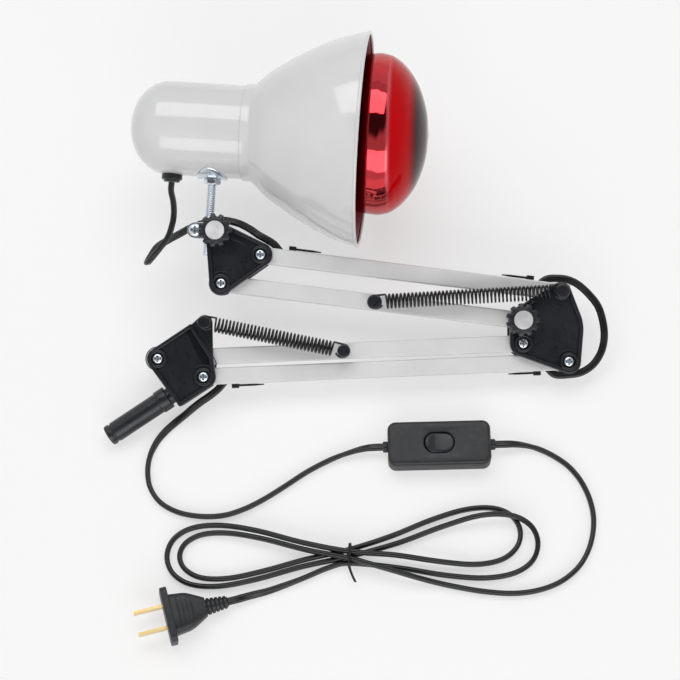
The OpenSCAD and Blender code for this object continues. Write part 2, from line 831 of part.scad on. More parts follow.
module holder_bracket() {
    color(zinc) head_frame() {
        difference() {
            translate([bracket_at - foot_t, foot_low, -6]) cube([6 + foot_t - bracket_at, foot_t, 12]);
            rotate([90, 0, 0]) cylinder(r = stem_r + 0.1, h = 40);
        }
        translate([bracket_at - foot_t, foot_low + foot_t - 0.01, -6]) cube([foot_t, 5 - foot_low, 12]);
    }
}

// Glass envelope: reflector cone, widest ring and domed front, as a closed shell
bulb_shape = smooth([
    [12.6, 15], [12.6, 19], [13.4, 22], [18, 30], [24, 40], [31.5, 52], [39.5, 66],
    [bulb_r * 0.945, bulb_front - 48], [bulb_r, bulb_front - 32], [bulb_r * 0.992, bulb_front - 26],
    [bulb_r * 0.945, bulb_front - 20], [bulb_r * 0.816, bulb_front - 12.9],
    [bulb_r * 0.6, bulb_front - 6.2], [bulb_r * 0.3, bulb_front - 1.5], [0, bulb_front]
], 3);

module bulb_glass() {
    outer = bulb_shape;
    last = len(bulb_shape) - 1;
    inner = [
        for (i = [0:last])
            i == last ? [0, bulb_front - glass_t] : shifted(bulb_shape, glass_t)[i]
    ];
    color(ruby) holder_frame() turned(concat(outer, reversed(inner)));
}

module bulb_cap() {
    color(zinc) holder_frame()
        turned([
            [0, -7.6], [4.4, -7.6], [4.8, -6.8], [9.6, -5.2], [cap_r, -2.5], [cap_r, 17.5],
            [14.4, 19.5], [14.4, 20.5], [12.9, 20.5], [12.9, 13], [0, 13]
        ]);
}

flange_out = 2;
module cord_grommet() {
    color(black) head_frame() difference() {
        translate([grommet_x, 0, 0]) rotate([90, 0, 0])
            cylinder(r = grommet_r + flange_out, h = neck_r + grommet_out);
        difference() {
            rotate([0, 90, 0]) translate([0, 0, grommet_x - 10]) cylinder(r = neck_r + 0.05, h = 20);
            translate([grommet_x, 0, 0]) rotate([90, 0, 0]) cylinder(r = grommet_r, h = neck_r + 5);
        }
        translate([grommet_x - 10, -neck_r + 4, -10]) cube([20, neck_r, 20]);
    }
}

// ---- Springs ----
// Points of a spring from one post at the origin to another at x = length: a hook round
// the post, the coil, and a hook round the other post
curl_steps = 8;
hook_r = coil_r;
hook_play = 0.12;
hook_in = hook_r - post_r - wire_d / 2 - hook_play;
function spring_points(length, turns) =
    let (a = hook_r + 1.4 + wire_d, b = length - a, n = turns * curl_steps)
    concat(
        [for (k = [0:9]) let (t = 330 - k * 24) [hook_in + hook_r * cos(t), hook_r * sin(t), 0]],
        [for (k = [0:n]) let (t = 90 - 360 * k / curl_steps)
            [a + (b - a) * k / n, coil_r * sin(t), coil_r * cos(t)]],
        [for (k = [0:9]) let (t = 66 - k * 24)
            [length - hook_in + hook_r * cos(t), hook_r * sin(t), 0]]
    );

// Least gap of a tube to itself, from its centre line with points added between: skip is
// the number of points along it that count as neighbours. A round wire compares in every
// direction, a strand w wide and h high across and upwards.
function finer(p, n) = concat([
    for (i = [0:len(p) - 2], k = [0:n - 1]) p[i] + (p[i + 1] - p[i]) * k / n
], [p[len(p) - 1]]);
function least_gap(p, w, h, skip) = min([
    for (i = [0:len(p) - 1 - skip], j = [i + skip:len(p) - 1])
        let (d = p[j] - p[i]) h == 0 ? norm(d) - w : max(norm([d.x, d.y]) - w, abs(d.z) - h)
]);

// Six-sided tube round a list of points
function tangent(p, i) = unit(p[min(i + 1, len(p) - 1)] - p[max(i - 1, 0)]);
function ring(c, t, w, h, up_, n) =
    let (s = unit(cross(up_, t)), v = cross(t, s))
    [for (k = [0:n - 1]) let (a = 360 * (k + 0.5) / n) c + w * cos(a) * s + h * sin(a) * v];
function tube_points(p, w, h, ups, n) = [
    for (i = [0:len(p) - 1]) each ring(p[i], tangent(p, i), w, h, ups[i], n)
];
function tube_faces(m, n) = concat(
    [[for (k = [n - 1:-1:0]) k]],
    [for (i = [0:m - 2], k = [0:n - 1])
        [i * n + k, i * n + (k + 1) % n, (i + 1) * n + (k + 1) % n]],
    [for (i = [0:m - 2], k = [0:n - 1])
        [i * n + k, (i + 1) * n + (k + 1) % n, (i + 1) * n + k]],
    [[for (k = [0:n - 1]) (m - 1) * n + k]]
);

module tube(p, w, h, ups, n) {
    polyhedron(tube_points(p, w / 2, h / 2, ups, n), tube_faces(len(p), n), convexity = 10);
}

module spring(length, turns) {
    p = spring_points(length, turns);
    hook_n = 10;
    ups = [
        for (i = [0:len(p) - 1])
            i < hook_n || i >= len(p) - hook_n ? [0, 0, 1] : unit([0, p[i].y, p[i].z])
    ];
    translate([0, 0, spring_z]) tube(p, wire_d, wire_d, ups, 6);
}

lower_way = lower_post - base_post_at;
upper_way = e1 - upper_post;
echo(least_lower_spring_gap = least_gap(spring_points(norm(lower_way), lower_turns), wire_d, 0, 5));
echo(least_upper_spring_gap = least_gap(spring_points(norm(upper_way), upper_turns), wire_d, 0, 5));

module lower_spring() {
    color(black) along(base_post_at, atan2(lower_way.y, lower_way.x))
        spring(norm(lower_way), lower_turns);
}

module upper_spring() {
    color(black) along(upper_post, atan2(upper_way.y, upper_way.x))
        spring(norm(upper_way), upper_turns);
}

// ---- Lead along the arm ----
// Its flat section keeps its width in the arm plane where it runs in the rods. One route
// runs from the grommet to the upper rod, one round the elbow, and one from the lower rod
// to the switch; each node is a stretch of its route, so neighbours share their end faces.
function square_to(u, t) = unit(u - (u * t) * t);
function carried(p, u, i = 0) =
    i == len(p) ? [] : let (v = square_to(u, tangent(p, i))) concat([v], carried(p, v, i + 1));

module stretch(route, ups, first, last, n = 8) {
    p = [for (i = [first:last]) route[i]];
    rings = [for (i = [first:last]) each ring(route[i], tangent(route, i), lead_w / 2, lead_t / 2, ups[i], n)];
    polyhedron(rings, tube_faces(len(p), n), convexity = 10);
}

function on_rod(p, a, s) = [p.x, p.y, 0] + s * [cos(a), sin(a), 0];

// Where the lead lies straight in a rod: distance from the pivot, and one point before it
lead_inside = slot_near + 11.5;
lead_straight = lead_inside - 3;

head_up = [dir(head_tilt + 90).x, dir(head_tilt + 90).y, 0];
grommet_face = [head_at.x, head_at.y, 0] + grommet_x * head_axis - (neck_r + grommet_out) * head_up;
head_route = concat(
    [grommet_face, grommet_face - 5 * head_up],
    [
        [-100.2, 83, -1.5], [-99.8, 76, -1], [-100.8, 69.5, -1], [-103.5, 61.5, -1],
        [-108.2, 55.2, -1], [-112.3, 50.2, -1.5], [-115.3, 47.2, -4], [-116.4, 47, -8],
        [-115.2, 50, -11.5], [-111, 56.5, -12.8], [-104, 61, -13], [-97, 64.8, -13],
        [-91, 68, -12.6], [-84, 70.6, -12], [-76.5, 72.4, -11.5], [-69.6, 72.6, -11.3],
        [-61.4, 70.6, -9], [-54.5, 67, -4.5], [-48.8, 63, -1], [-43.5, 60, 0],
        [-39.3, 57.2, 0], [-36.5, 53.8, 0], [-33.6, 51, 0]
    ],
    [on_rod(h1, upper_arm_angle, lead_straight), on_rod(h1, upper_arm_angle, lead_inside)]
);
head_ups = reversed(carried(reversed(head_route), [0, 0, 1]));
clamp_from = 9;
bracket_from = 17;

elbow_route = concat(
    [
        on_rod(h1, upper_arm_angle, upper_arm_len - lead_inside),
        on_rod(h1, upper_arm_angle, upper_arm_len - lead_straight)
    ],
    [
        [116.5, 31.8, 0], [119.5, 33, 0], [121.8, 35.2, 0], [125.2, 36.8, 0], [130, 37, 0],
        [136, 36.4, 0], [142.5, 33.5, 0], [149, 27.8, 0], [154.8, 20.3, 0], [157.8, 11, 0],
        [158.6, 1.5, 0], [156.6, -7.5, 0], [151.6, -15, 0], [144.5, -19.5, 0],
        [136.5, -20.8, 0], [130.5, -21, 0], [127.2, -19.6, 0], [124.5, -16.8, 0], [121, -14.6, 0]
    ],
    [
        on_rod(p2, lower_arm_angle, lower_arm_len - lead_straight),
        on_rod(p2, lower_arm_angle, lower_arm_len - lead_inside)
    ]
);
elbow_ups = [for (p = elbow_route) [0, 0, 1]];
elbow_middle = 11;

module lead_head_loop() {
    color(black) lie() stretch(head_route, head_ups, 0, clamp_from);
}

module lead_clamp() {
    color(black) lie() stretch(head_route, head_ups, clamp_from, bracket_from);
}

module lead_bracket() {
    color(black) lie() stretch(head_route, head_ups, bracket_from, len(head_route) - 1);
}

module lead_in_rod(p, a, length) {
    route = [on_rod(p, a, lead_inside), on_rod(p, a, length - lead_inside)];
    color(black) lie() stretch(route, [[0, 0, 1], [0, 0, 1]], 0, 1);
}

module lead_in_upper_rod() {
    lead_in_rod(h1, upper_arm_angle, upper_arm_len);
}

module lead_in_lower_rod() {
    lead_in_rod(p2, lower_arm_angle, lower_arm_len);
}

module lead_elbow_upper() {
    color(black) lie() stretch(elbow_route, elbow_ups, 0, elbow_middle);
}

module lead_elbow_lower() {
    color(black) lie() stretch(elbow_route, elbow_ups, elbow_middle, len(elbow_route) - 1);
}

// ---- Free lead on the table, in the table's own coordinates ----
// Where it bends on the table the flat lead stands on its edge
function laid(v) =
    let (a = [v.x * cos(lie_roll) + v.z * sin(lie_roll), v.y, -v.x * sin(lie_roll) + v.z * cos(lie_roll)])
    [a.x, a.y * cos(lie_tilt) - a.z * sin(lie_tilt), a.y * sin(lie_tilt) + a.z * cos(lie_tilt)];
function on_table(p) = [lie_shift.x, lie_shift.y, lie_drop] + laid(p);

// Section's up vector when it is rolled by r from lying flat to standing on its edge
function rolled(t, r) = cos(r) * square_to([0, 0, 1], t) + sin(r) * unit(cross([0, 0, 1], t));

switch_at = [49.8, -118.7];
switch_turn = 1.6;
cord_level = 6;
collar_out = 3;
function switch_end(x) =
    [switch_at.x, switch_at.y, cord_level] + x * [cos(switch_turn), sin(switch_turn), 0];

rod_down = [
    [-63.2, -21.3, 0], [-65.5, -22.3, 0], [-68.5, -24.2, 0], [-70.8, -26.8, 0],
    [-73.5, -29.8, 0], [-78.5, -33.8, -0.5], [-83.5, -37.2, -2], [-88.5, -41, -4]
];
table_run = [
    [-103.3, -99.2, 3.3], [-108.7, -103.4, 2.2], [-114.7, -109.2, 2.2], [-119.7, -116, 2.2],
    [-123.3, -125, 2.2], [-124.1, -134.5, 2.2], [-121.9, -144.4, 2.2], [-115.3, -153.2, 2.2],
    [-104.3, -159, 2.2], [-90.7, -161.3, 2.2], [-77.5, -160.6, 2.2], [-65.7, -156.8, 2.2],
    [-54.1, -150.8, 2.2], [-41.7, -142.8, 2.2], [-28.1, -133.6, 2.2], [-13.7, -126, 2.4],
    [-1.7, -121.8, 3.8], [6.3, -120.1, 5.2]
];
base_route = concat(
    [
        on_table(on_rod(p2, lower_arm_angle, lead_inside)),
        on_table(on_rod(p2, lower_arm_angle, lead_straight))
    ],
    [for (p = rod_down) on_table(p)],
    table_run,
    [switch_end(-switch_l / 2 - collar_out - 4), switch_end(-switch_l / 2 - collar_out)]
);
table_from = 2 + len(rod_down);
// The lead lies flat as far as the table, rolls onto its edge on the next four points
// and back to flat on the last three
function roll_at(i) =
    90 * max(0, min(1, (i - table_from) / 4, (len(base_route) - 2 - i) / 3));
base_ups = [
    for (i = [0:len(base_route) - 1])
        i < table_from ? laid([0, 0, 1]) : rolled(tangent(base_route, i), roll_at(i))
];

module lead_base() {
    color(black) stretch(base_route, base_ups, 0, table_from);
}

module cord_to_switch() {
    color(black) stretch(base_route, base_ups, table_from, len(base_route) - 1);
}

// Hank held by the tie: out of the switch in a big loop, through the tie, then round a left
// lobe, a right lobe, a left lobe and a right lobe, and through the tie to the plug.
// Strands lie in two layers in the tie; those that run to the left are the upper ones.
tie_at = [-2.7, -185];
floor_z = 2.1;
layer = 4.6;
tie_lift = 1.1;
strand_pitch = 4;
lobe_steps = 12;

function mix(a, b, t) = a + (b - a) * max(0, min(1, t));
function eased(t) = let (u = max(0, min(1, t))) u * u * (3 - 2 * u);
function lobe_side(t) = sin(360 * t) * pow(max(0, sin(180 * t)), 0.4) / 0.9;

// Point of a lobe: axis direction a, length l, half width w, offsets o1 and o2 and heights
// z1 and z2 at the tie, hump h at the part t = c of the way round
function lobe(t, a, l, w, o1, o2, z1, z2, c, h) =
    let (
        u = dir(a), v = [-u.y, u.x] * (u.x < 0 ? -1 : 1),
        o = mix(o1, 0, t / 0.3) + mix(o2, 0, (1 - t) / 0.3),
        q = tie_at + l * sin(180 * t) * u + (w * lobe_side(t) + o) * v,
        z = floor_z + layer * (z1 * (1 - eased((t - 0.1) / 0.22)) + z2 * eased((t - 0.68) / 0.22)
            + h * (eased((t - c + 0.26) / 0.12) - eased((t - c - 0.06) / 0.14)))
            + tie_lift * max(0, 1 - 12 * min(t, 1 - t))
    )
    [q.x, q.y, z];

big_loop = [
    [94.8, -117.2, 4.6], [101.8, -117.6, 2.8], [109.3, -119.6, 2.1], [117.8, -123.8, 2.1],
    [126.3, -130, 2.1], [133.3, -138.8, 2.1], [138.3, -150.3, 2.1], [140.1, -163, 2.1],
    [137.7, -177, 2.1], [131.3, -189.2, 2.1], [120.8, -198.4, 2.1], [107.8, -203.8, 2.1],
    [92.6, -206, 2.1], [75.3, -205, 2.1], [58.3, -202.2, 2.1], [45.3, -199.6, 3.4],
    [32.3, -196.6, 6.2], [19.3, -193, 7.4], [8.3, -190, 7.8]
];
left_inner = [for (k = [0:lobe_steps - 1])
    lobe(k / lobe_steps, 180, 100, 14.2, -strand_pitch / 2, strand_pitch, 1, 0, 0, 0)];
right_inner = [for (k = [0:lobe_steps - 1])
    lobe(k / lobe_steps, 9.3, 101, 17, strand_pitch, strand_pitch / 2, 0, 1, 0, 0)];
left_outer = [for (k = [0:lobe_steps - 1])
    lobe(k / lobe_steps, 180, 107.5, 18.4, strand_pitch / 2, 0, 1, 0, 0, 0)];
right_outer = [for (k = [0:lobe_steps])
    lobe(k / lobe_steps, 4.6, 110, 18.3, 0, -strand_pitch, 0, 0, 0.38, 1)];
plug_run = [
    [-14.7, -191.4, 2.1], [-31.7, -198.6, 2.1], [-48.7, -205, 2.1], [-59.7, -208.2, 3]
];

plug_at = [-108.5, -222.3, 9.5];
plug_turn = 16;
plug_dip = 8;
relief_end = 37;
function plug_point(x) = plug_at
    + x * [cos(plug_dip) * cos(plug_turn), cos(plug_dip) * sin(plug_turn), -sin(plug_dip)];

hank_route = concat(
    [switch_end(switch_l / 2 + collar_out), switch_end(switch_l / 2 + collar_out + 5)],
    big_loop, left_inner, right_inner, left_outer, right_outer, plug_run,
    [plug_point(relief_end + 5), plug_point(relief_end)]
);
hank_last = len(hank_route) - 1;
hank_ups = [
    for (i = [0:hank_last])
        rolled(tangent(hank_route, i), 90 * min(1, max(0, i - 1) / 3, max(0, hank_last - 1 - i) / 3))
];

echo(least_hank_gap = least_gap(finer(hank_route, 4), lead_t, lead_w * cos(30), 24));

module cord_hank() {
    color(black) stretch(hank_route, hank_ups, 0, hank_last, 6);
}

// Wire tie: a band round the five strands and its two ends, side by side
band_w = 1.6;
band_t = 0.8;
wire_r = 0.45;
end_l = 9;
end_z = 4;
end_turn = 25;
module twist_tie() {
    half_w = 1.5 * strand_pitch + 0.3;
    top = floor_z + tie_lift + layer + lead_w / 2 + 0.3;
    round_r = 2.2;
    function corners(r, grow) = [
        [half_w - round_r, round_r + band_t, r + grow], [half_w - round_r, top - round_r, r + grow],
        [-half_w + round_r, top - round_r, r + grow], [-half_w + round_r, round_r + band_t, r + grow]
    ];
    color(black) translate([tie_at.x, tie_at.y, 0.05]) {
        translate([-band_w / 2, 0, 0]) rotate([90, 0, 90])
            linear_extrude(band_w) difference() {
                polygon(outline(corners(round_r, band_t)));
                polygon(outline(corners(round_r, 0)));
            }
        for (side = [-1, 1])
            translate([side * wire_r * 0.85, -half_w - band_t / 2, end_z]) rotate([90, 0, end_turn])
                cylinder(r = wire_r, h = end_l, $fn = 16);
    }
}

// ---- Inline switch: two halves of a housing and an oval rocker on its own axle ----
switch_corner = 5;
switch_split = cord_level;
well_play = 0.7;
well_side = 0.3;
well_depth = 6.4;
well_floor = switch_h - well_depth;
axle_r = 1;
axle_past = 1;
axle_drop = 2.8;
axle_z = switch_h - axle_drop;
switch_bevel = 2;
foot_bevel = 0.8;

module on_switch() {
    translate([switch_at.x, switch_at.y, 0]) rotate([0, 0, switch_turn]) children();
}

module capsule(l, w) {
    polygon(outline([[(l - w) / 2, 0, w / 2], [-(l - w) / 2, 0, w / 2]]));
}

// Side view of the housing along one half of its length or width
function housing(half, bevel) = [
    [-half + foot_bevel, 0], [half - foot_bevel, 0], [half, foot_bevel],
    [half, switch_h - bevel], [half - bevel, switch_h],
    [-half + bevel, switch_h], [-half, switch_h - bevel], [-half, foot_bevel]
];

module switch_body() {
    x = switch_l / 2;
    y = switch_w / 2;
    c = switch_corner;
    intersection() {
        linear_extrude(switch_h)
            polygon(outline([[x - c, c - y, c], [x - c, y - c, c], [c - x, y - c, c], [c - x, c - y, c]]));
        rotate([90, 0, 0]) translate([0, 0, -y - 1]) linear_extrude(switch_w + 2)
            polygon(housing(x, 2 * switch_bevel));
        rotate([90, 0, 90]) translate([0, 0, -x - 1]) linear_extrude(switch_l + 2)
            polygon(housing(y, switch_bevel));
    }
    translate([-x - collar_out, 0, cord_level]) rotate([0, 90, 0])
        cylinder(r = lead_w / 2 + 1, h = switch_l + 2 * collar_out);
}

module switch_base() {
    color(black) on_switch() intersection() {
        switch_body();
        translate([-switch_l, -switch_w, 0]) cube([2 * switch_l, 2 * switch_w, switch_split]);
    }
}

module switch_cover() {
    color(black) on_switch() difference() {
        intersection() {
            switch_body();
            translate([-switch_l, -switch_w, switch_split]) cube([2 * switch_l, 2 * switch_w, switch_h]);
        }
        translate([0, 0, well_floor]) linear_extrude(switch_h)
            capsule(rocker_l + 2 * well_play, rocker_w + 2 * well_side);
        translate([0, rocker_w / 2 + axle_past + 0.2, axle_z]) rotate([90, 0, 0])
            cylinder(r = axle_r + 0.05, h = rocker_w + 2 * axle_past + 0.4);
    }
}

// Oval rocker: higher at both ends than in the middle, resting with its left end up
module switch_rocker() {
    r = rocker_l / 2;
    keel = 2.6;
    skirt = 1.6;
    rise = 3.2;
    dip = 2;
    color(black) on_switch() translate([0, 0, axle_z]) rotate([0, rocker_throw / 2, 0]) {
        intersection() {
            translate([0, 0, -keel - 1]) linear_extrude(keel + rise + 2) capsule(rocker_l, rocker_w);
            rotate([90, 0, 0]) linear_extrude(2 * rocker_w, center = true)
                polygon([
                    [-r, -skirt], [-1.5 * axle_r, -keel], [1.5 * axle_r, -keel], [r, -skirt],
                    [r, rise - 0.2], [r - 2, rise], [0, dip], [-r + 2, rise], [-r, rise - 0.2]
                ]);
        }
        rotate([90, 0, 0]) translate([0, 0, -rocker_w / 2 - axle_past])
            cylinder(r = axle_r, h = rocker_w + 2 * axle_past);
    }
}

// ---- Plug: flange, a body that draws in to the lead, a ribbed relief and two blades ----
module on_plug() {
    translate(plug_at) rotate([0, plug_dip, plug_turn]) children();
}

blade_root = 3;
module blades() {
    for (side = [-1, 1])
        translate([-blade_l, side * blade_pitch / 2 - blade_t / 2, -blade_w / 2])
            cube([blade_l + blade_root, blade_t, blade_w]);
}

relief_from = 20;
relief_ribs = 7;
relief_r = 5.6;
relief_tip_r = 3.9;
rib_out = 0.8;
relief_profile = [
    for (i = [0:relief_ribs - 1], k = [0:3])
        let (share = (i + k / 4 + (k == 3 ? 0.1 : 0)) / relief_ribs)
        let (r = mix(relief_r, relief_tip_r, share))
        [k < 2 ? r : r - rib_out, relief_from + (relief_end - relief_from) * share]
];

// Half widths of the plug's body from above and from the side, [x, half], and the closed
// outline that they give
body_from = flange_t - 0.01;
plug_plan = [[body_from, 11.8], [13, 10.8], [18.4, 8.4], [22.4, 6.2], [24, 5.4]];
plug_side = [[body_from, 6.8], [13, 6.6], [20, 5.6], [24, 5]];
function both(halves) = concat([for (p = halves) [p.x, -p.y]], reversed(halves));

module plug_body() {
    c = 4;
    color(black) on_plug() difference() {
        union() {
            rotate([90, 0, 90]) linear_extrude(flange_t)
                polygon(outline([
                    for (p = [[1, -1], [1, 1], [-1, 1], [-1, -1]])
                        [p.x * (flange_w / 2 - c), p.y * (flange_h / 2 - c), c]
                ]));
            intersection() {
                linear_extrude(flange_h, center = true) polygon(both(plug_plan));
                rotate([90, 0, 0]) linear_extrude(flange_w, center = true) polygon(both(plug_side));
            }
            rotate([0, 90, 0]) rotate_extrude()
                polygon(concat([[0, relief_from - 2], [5, relief_from - 2]], relief_profile,
                    [[lead_w / 2 + 0.7, relief_end], [0, relief_end]]));
        }
        blades();
    }
}

module plug_blades() {
    color(brass) on_plug() blades();
}

base_front_cover();
base_rear_cover();
spigot();
base_screws();
base_nuts();
base_spring_post();
lower_rod_a();
lower_rod_post();
lower_rod_b();
lower_rod_ties();
elbow_front_cover();
elbow_rear_cover();
elbow_screws();
elbow_nuts();
elbow_spring_post();
elbow_knob_bolt();
elbow_knob();
elbow_knob_cap();
upper_rod_a();
upper_rod_ties();
upper_rod_b();
upper_rod_post();
head_bracket_front();
head_bracket_rear();
head_bracket_screws();
head_bracket_nuts();
tilt_bolt();
tilt_knob();
tilt_knob_cap();
stem_clamp();
clamp_screw();
stem();
saddle_plate();
stem_nuts();
neck_cup();
bell_shade();
lamp_holder();
holder_shell();
holder_bracket();
bulb_glass();
bulb_cap();
cord_grommet();
lower_spring();
upper_spring();
lead_head_loop();
lead_clamp();
lead_bracket();
lead_in_upper_rod();
lead_elbow_upper();
lead_elbow_lower();
lead_in_lower_rod();
lead_base();
cord_to_switch();
switch_base();
switch_cover();
switch_rocker();
cord_hank();
twist_tie();
plug_body();
plug_blades();
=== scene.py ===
import math
from itertools import accumulate

import bmesh
import bpy
import numpy as np
from mathutils import Matrix


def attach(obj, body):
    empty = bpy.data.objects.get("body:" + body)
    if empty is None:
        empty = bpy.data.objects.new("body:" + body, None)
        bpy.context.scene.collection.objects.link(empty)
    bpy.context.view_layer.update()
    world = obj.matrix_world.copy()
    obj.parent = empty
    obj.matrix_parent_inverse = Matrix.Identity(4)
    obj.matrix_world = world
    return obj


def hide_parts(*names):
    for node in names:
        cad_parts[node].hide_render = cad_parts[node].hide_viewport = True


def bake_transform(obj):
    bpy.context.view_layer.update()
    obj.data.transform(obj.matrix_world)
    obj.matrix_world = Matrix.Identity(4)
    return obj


bl_info = {
    "name": "Folding Heat Lamp",
    "version": (1, 0, 0),
    "blender": (4, 5, 0),
    "location": "3D View > Sidebar > Heat Lamp",
    "description": "Dresses the solids of a folded heat lamp with its springs, leads, glass and finishes",
    "category": "Object",
}

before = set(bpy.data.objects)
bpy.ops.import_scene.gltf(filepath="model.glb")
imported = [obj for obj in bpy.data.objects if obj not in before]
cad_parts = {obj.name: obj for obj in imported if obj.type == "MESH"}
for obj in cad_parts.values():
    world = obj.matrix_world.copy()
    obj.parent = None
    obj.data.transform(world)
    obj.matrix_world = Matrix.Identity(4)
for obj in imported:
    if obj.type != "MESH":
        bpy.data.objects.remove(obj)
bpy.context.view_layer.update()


# ---- Places on the lamp, in millimetres ----
def turn(axis, degrees):
    """Rotation matrix about one axis, counter-clockwise seen from its tip."""
    c, s = math.cos(math.radians(degrees)), math.sin(math.radians(degrees))
    i, j = {"X": (1, 2), "Y": (2, 0), "Z": (0, 1)}[axis]
    matrix = np.eye(3)
    matrix[i, i], matrix[j, j], matrix[i, j], matrix[j, i] = c, c, -s, s
    return matrix


def way(degrees):
    """Unit vector in a plane, or unit vectors for an array of angles."""
    a = np.radians(degrees)
    return np.stack([np.cos(a), np.sin(a)], -1)


def spot(xy, z=0.0):
    """Point of a plane at the height z."""
    return np.array([xy[0], xy[1], z], float)


class Place:
    """A frame that stands on the lamp: its points, in millimetres, are turned and shifted to
    the table's frame, in metres."""

    def __init__(self, matrix=None, origin=(0, 0, 0)):
        self.matrix = np.eye(3) if matrix is None else matrix
        self.origin = np.asarray(origin, float)

    def on(self, matrix=None, origin=(0, 0, 0)):
        matrix = np.eye(3) if matrix is None else matrix
        return Place(self.matrix @ matrix, self.matrix @ np.asarray(origin, float) + self.origin)

    def __call__(self, points):
        return (np.asarray(points, float) @ self.matrix.T + self.origin) / 1000


TABLE = Place()
ARM = TABLE.on(turn("X", 19.0782) @ turn("Y", 2.14342), (-9.4, -57.0, 20.113))
ALONG_X = turn("Y", 90)

LOWER_ANGLE, UPPER_ANGLE = 2.4, -7.0
LOWER_LEN, UPPER_LEN = 218.0, 180.5
HEAD_TILT, HEAD_TURN, HOLDER_COCK = -4.0, 4.0, 2.2
P2 = np.array([-81.4, -22.0])
P1 = P2 - 29.3 * way(-21.7)
Q2 = P2 + LOWER_LEN * way(LOWER_ANGLE)
Q1 = P1 + LOWER_LEN * way(LOWER_ANGLE)
E1 = Q2 + [-4.7, 41.7]
E2 = E1 - 29.0 * way(36)
H1 = E1 - UPPER_LEN * way(UPPER_ANGLE)
H2 = E2 - UPPER_LEN * way(UPPER_ANGLE)
TILT_AT = H1 + [-26.4, 14.0]
HEAD_AT = TILT_AT - 4.95 * way(HEAD_TILT) + 60.6 * way(HEAD_TILT + 90)
HEAD = ARM.on(turn("Z", HEAD_TILT) @ turn("Y", -HEAD_TURN), spot(HEAD_AT))
HOLDER = HEAD.on(turn("Z", HOLDER_COCK))

COVER_IN, PANEL, COVER_OUT = 5.3, 7.3, 9.3
SPRING_Z = 12.2
BASE_POST = P2 + [0.8, 32.4]
LOWER_POST = P1 + 111.0 * way(LOWER_ANGLE)
UPPER_POST = H2 + 92.0 * way(UPPER_ANGLE)


# ---- Curves and profiles ----
def unit(v):
    return v / np.linalg.norm(v, axis=-1, keepdims=True)


def smooth(points, steps):
    """Curve through points. Between b and c, with neighbours a and d, it is half of
    2b + (c - a)t + (2a - 5b + 4c - d)t^2 + (3b - a - 3c + d)t^3 for t from 0 to 1."""
    points = np.asarray(points, float)
    p = np.vstack([2 * points[:1] - points[1:2], points, 2 * points[-1:] - points[-2:-1]])
    a, b, c, d = p[:-3, None], p[1:-2, None], p[2:-1, None], p[3:, None]
    t = np.linspace(0, 1, steps, endpoint=False)[None, :, None]
    curve = 2 * b + (c - a) * t + (2 * a - 5 * b + 4 * c - d) * t**2 + (3 * b - a - 3 * c + d) * t**3
    return np.vstack([0.5 * curve.reshape(-1, points.shape[1]), points[-1:]])


def between(values, steps):
    """Values carried on in straight lines, with as many steps as smooth() makes."""
    values = np.asarray(values, float)
    t = np.linspace(0, 1, steps, endpoint=False)[None, :, None]
    lines = values[:-1, None] * (1 - t) + values[1:, None] * t
    return np.vstack([lines.reshape(-1, values.shape[1]), values[-1:]])


def tangents(path):
    return unit(np.gradient(path, axis=0))


def carried(tangent, up):
    """Up vectors along a path, each the one before it made square to the next tangent."""
    square = lambda u, t: unit(u - (u @ t) * t)
    return np.array(list(accumulate(tangent[1:], square, initial=square(np.asarray(up, float), tangent[0]))))


def swept(path, tangent, ups, section):
    """Grid of a section carried along a path: path + x (up x tangent) + y (tangent x side)."""
    side = unit(np.cross(ups, tangent))
    lift = np.cross(tangent, side)
    return path[:, None] + section[None, :, :1] * side[:, None] + section[None, :, 1:] * lift[:, None]


def circle(radius, around=12):
    return radius * way(np.arange(around) * 360 / around)


def twin_section(width, thickness, steps=9):
    """Two round cores side by side, joined where their circles cross, which leaves a groove."""
    r = thickness / 2
    apart = width / 2 - r
    reach = 180 - math.degrees(math.acos(apart / r)) - 4
    arc = r * way(np.linspace(-reach, reach, steps))
    right = arc + [apart, 0]
    return np.vstack([right, -right])


def rounded(profile, radius, steps=3, ends=False):
    """Profile whose corners are eased: from a point before each corner to one after it, at the
    radius or 0.45 of the edge, along (1 - t)^2 start + 2t(1 - t) corner + t^2 end."""
    p = np.asarray(profile, float)
    before, corner, after = (np.roll(p, 1, 0), p, np.roll(p, -1, 0)) if ends else (p[:-2], p[1:-1], p[2:])
    a, b = before - corner, after - corner
    la, lb = (np.linalg.norm(v, axis=1, keepdims=True) for v in (a, b))
    start = corner + a / la * np.minimum(radius, 0.45 * la)
    end = corner + b / lb * np.minimum(radius, 0.45 * lb)
    t = np.linspace(0, 1, steps + 1)[None, :, None]
    eased = (1 - t) ** 2 * start[:, None] + 2 * t * (1 - t) * corner[:, None] + t**2 * end[:, None]
    eased = eased.reshape(-1, p.shape[1])
    return eased if ends else np.vstack([p[:1], eased, p[-1:]])


def turned(profile, around=64):
    """Grid of a profile [radius, height] turned about the z axis."""
    profile = np.asarray(profile, float)
    ring = way(np.arange(around) * 360 / around)
    x, y = (profile[:, :1] * ring[:, k] for k in (0, 1))
    return np.stack([x, y, np.broadcast_to(profile[:, 1:], x.shape)], -1)


def shaped(radii, heights):
    """Grid of radii, one row for each height and one column for each direction."""
    ring = way(np.arange(radii.shape[1]) * 360 / radii.shape[1])
    heights = np.broadcast_to(np.reshape(heights, (-1, 1)), radii.shape)
    return np.stack([radii * ring[:, 0], radii * ring[:, 1], heights], -1)


def step(x, low, high):
    """0 below low, 1 above high, and 3t^2 - 2t^3 between."""
    t = np.clip((x - low) / (high - low), 0, 1)
    return t * t * (3 - 2 * t)


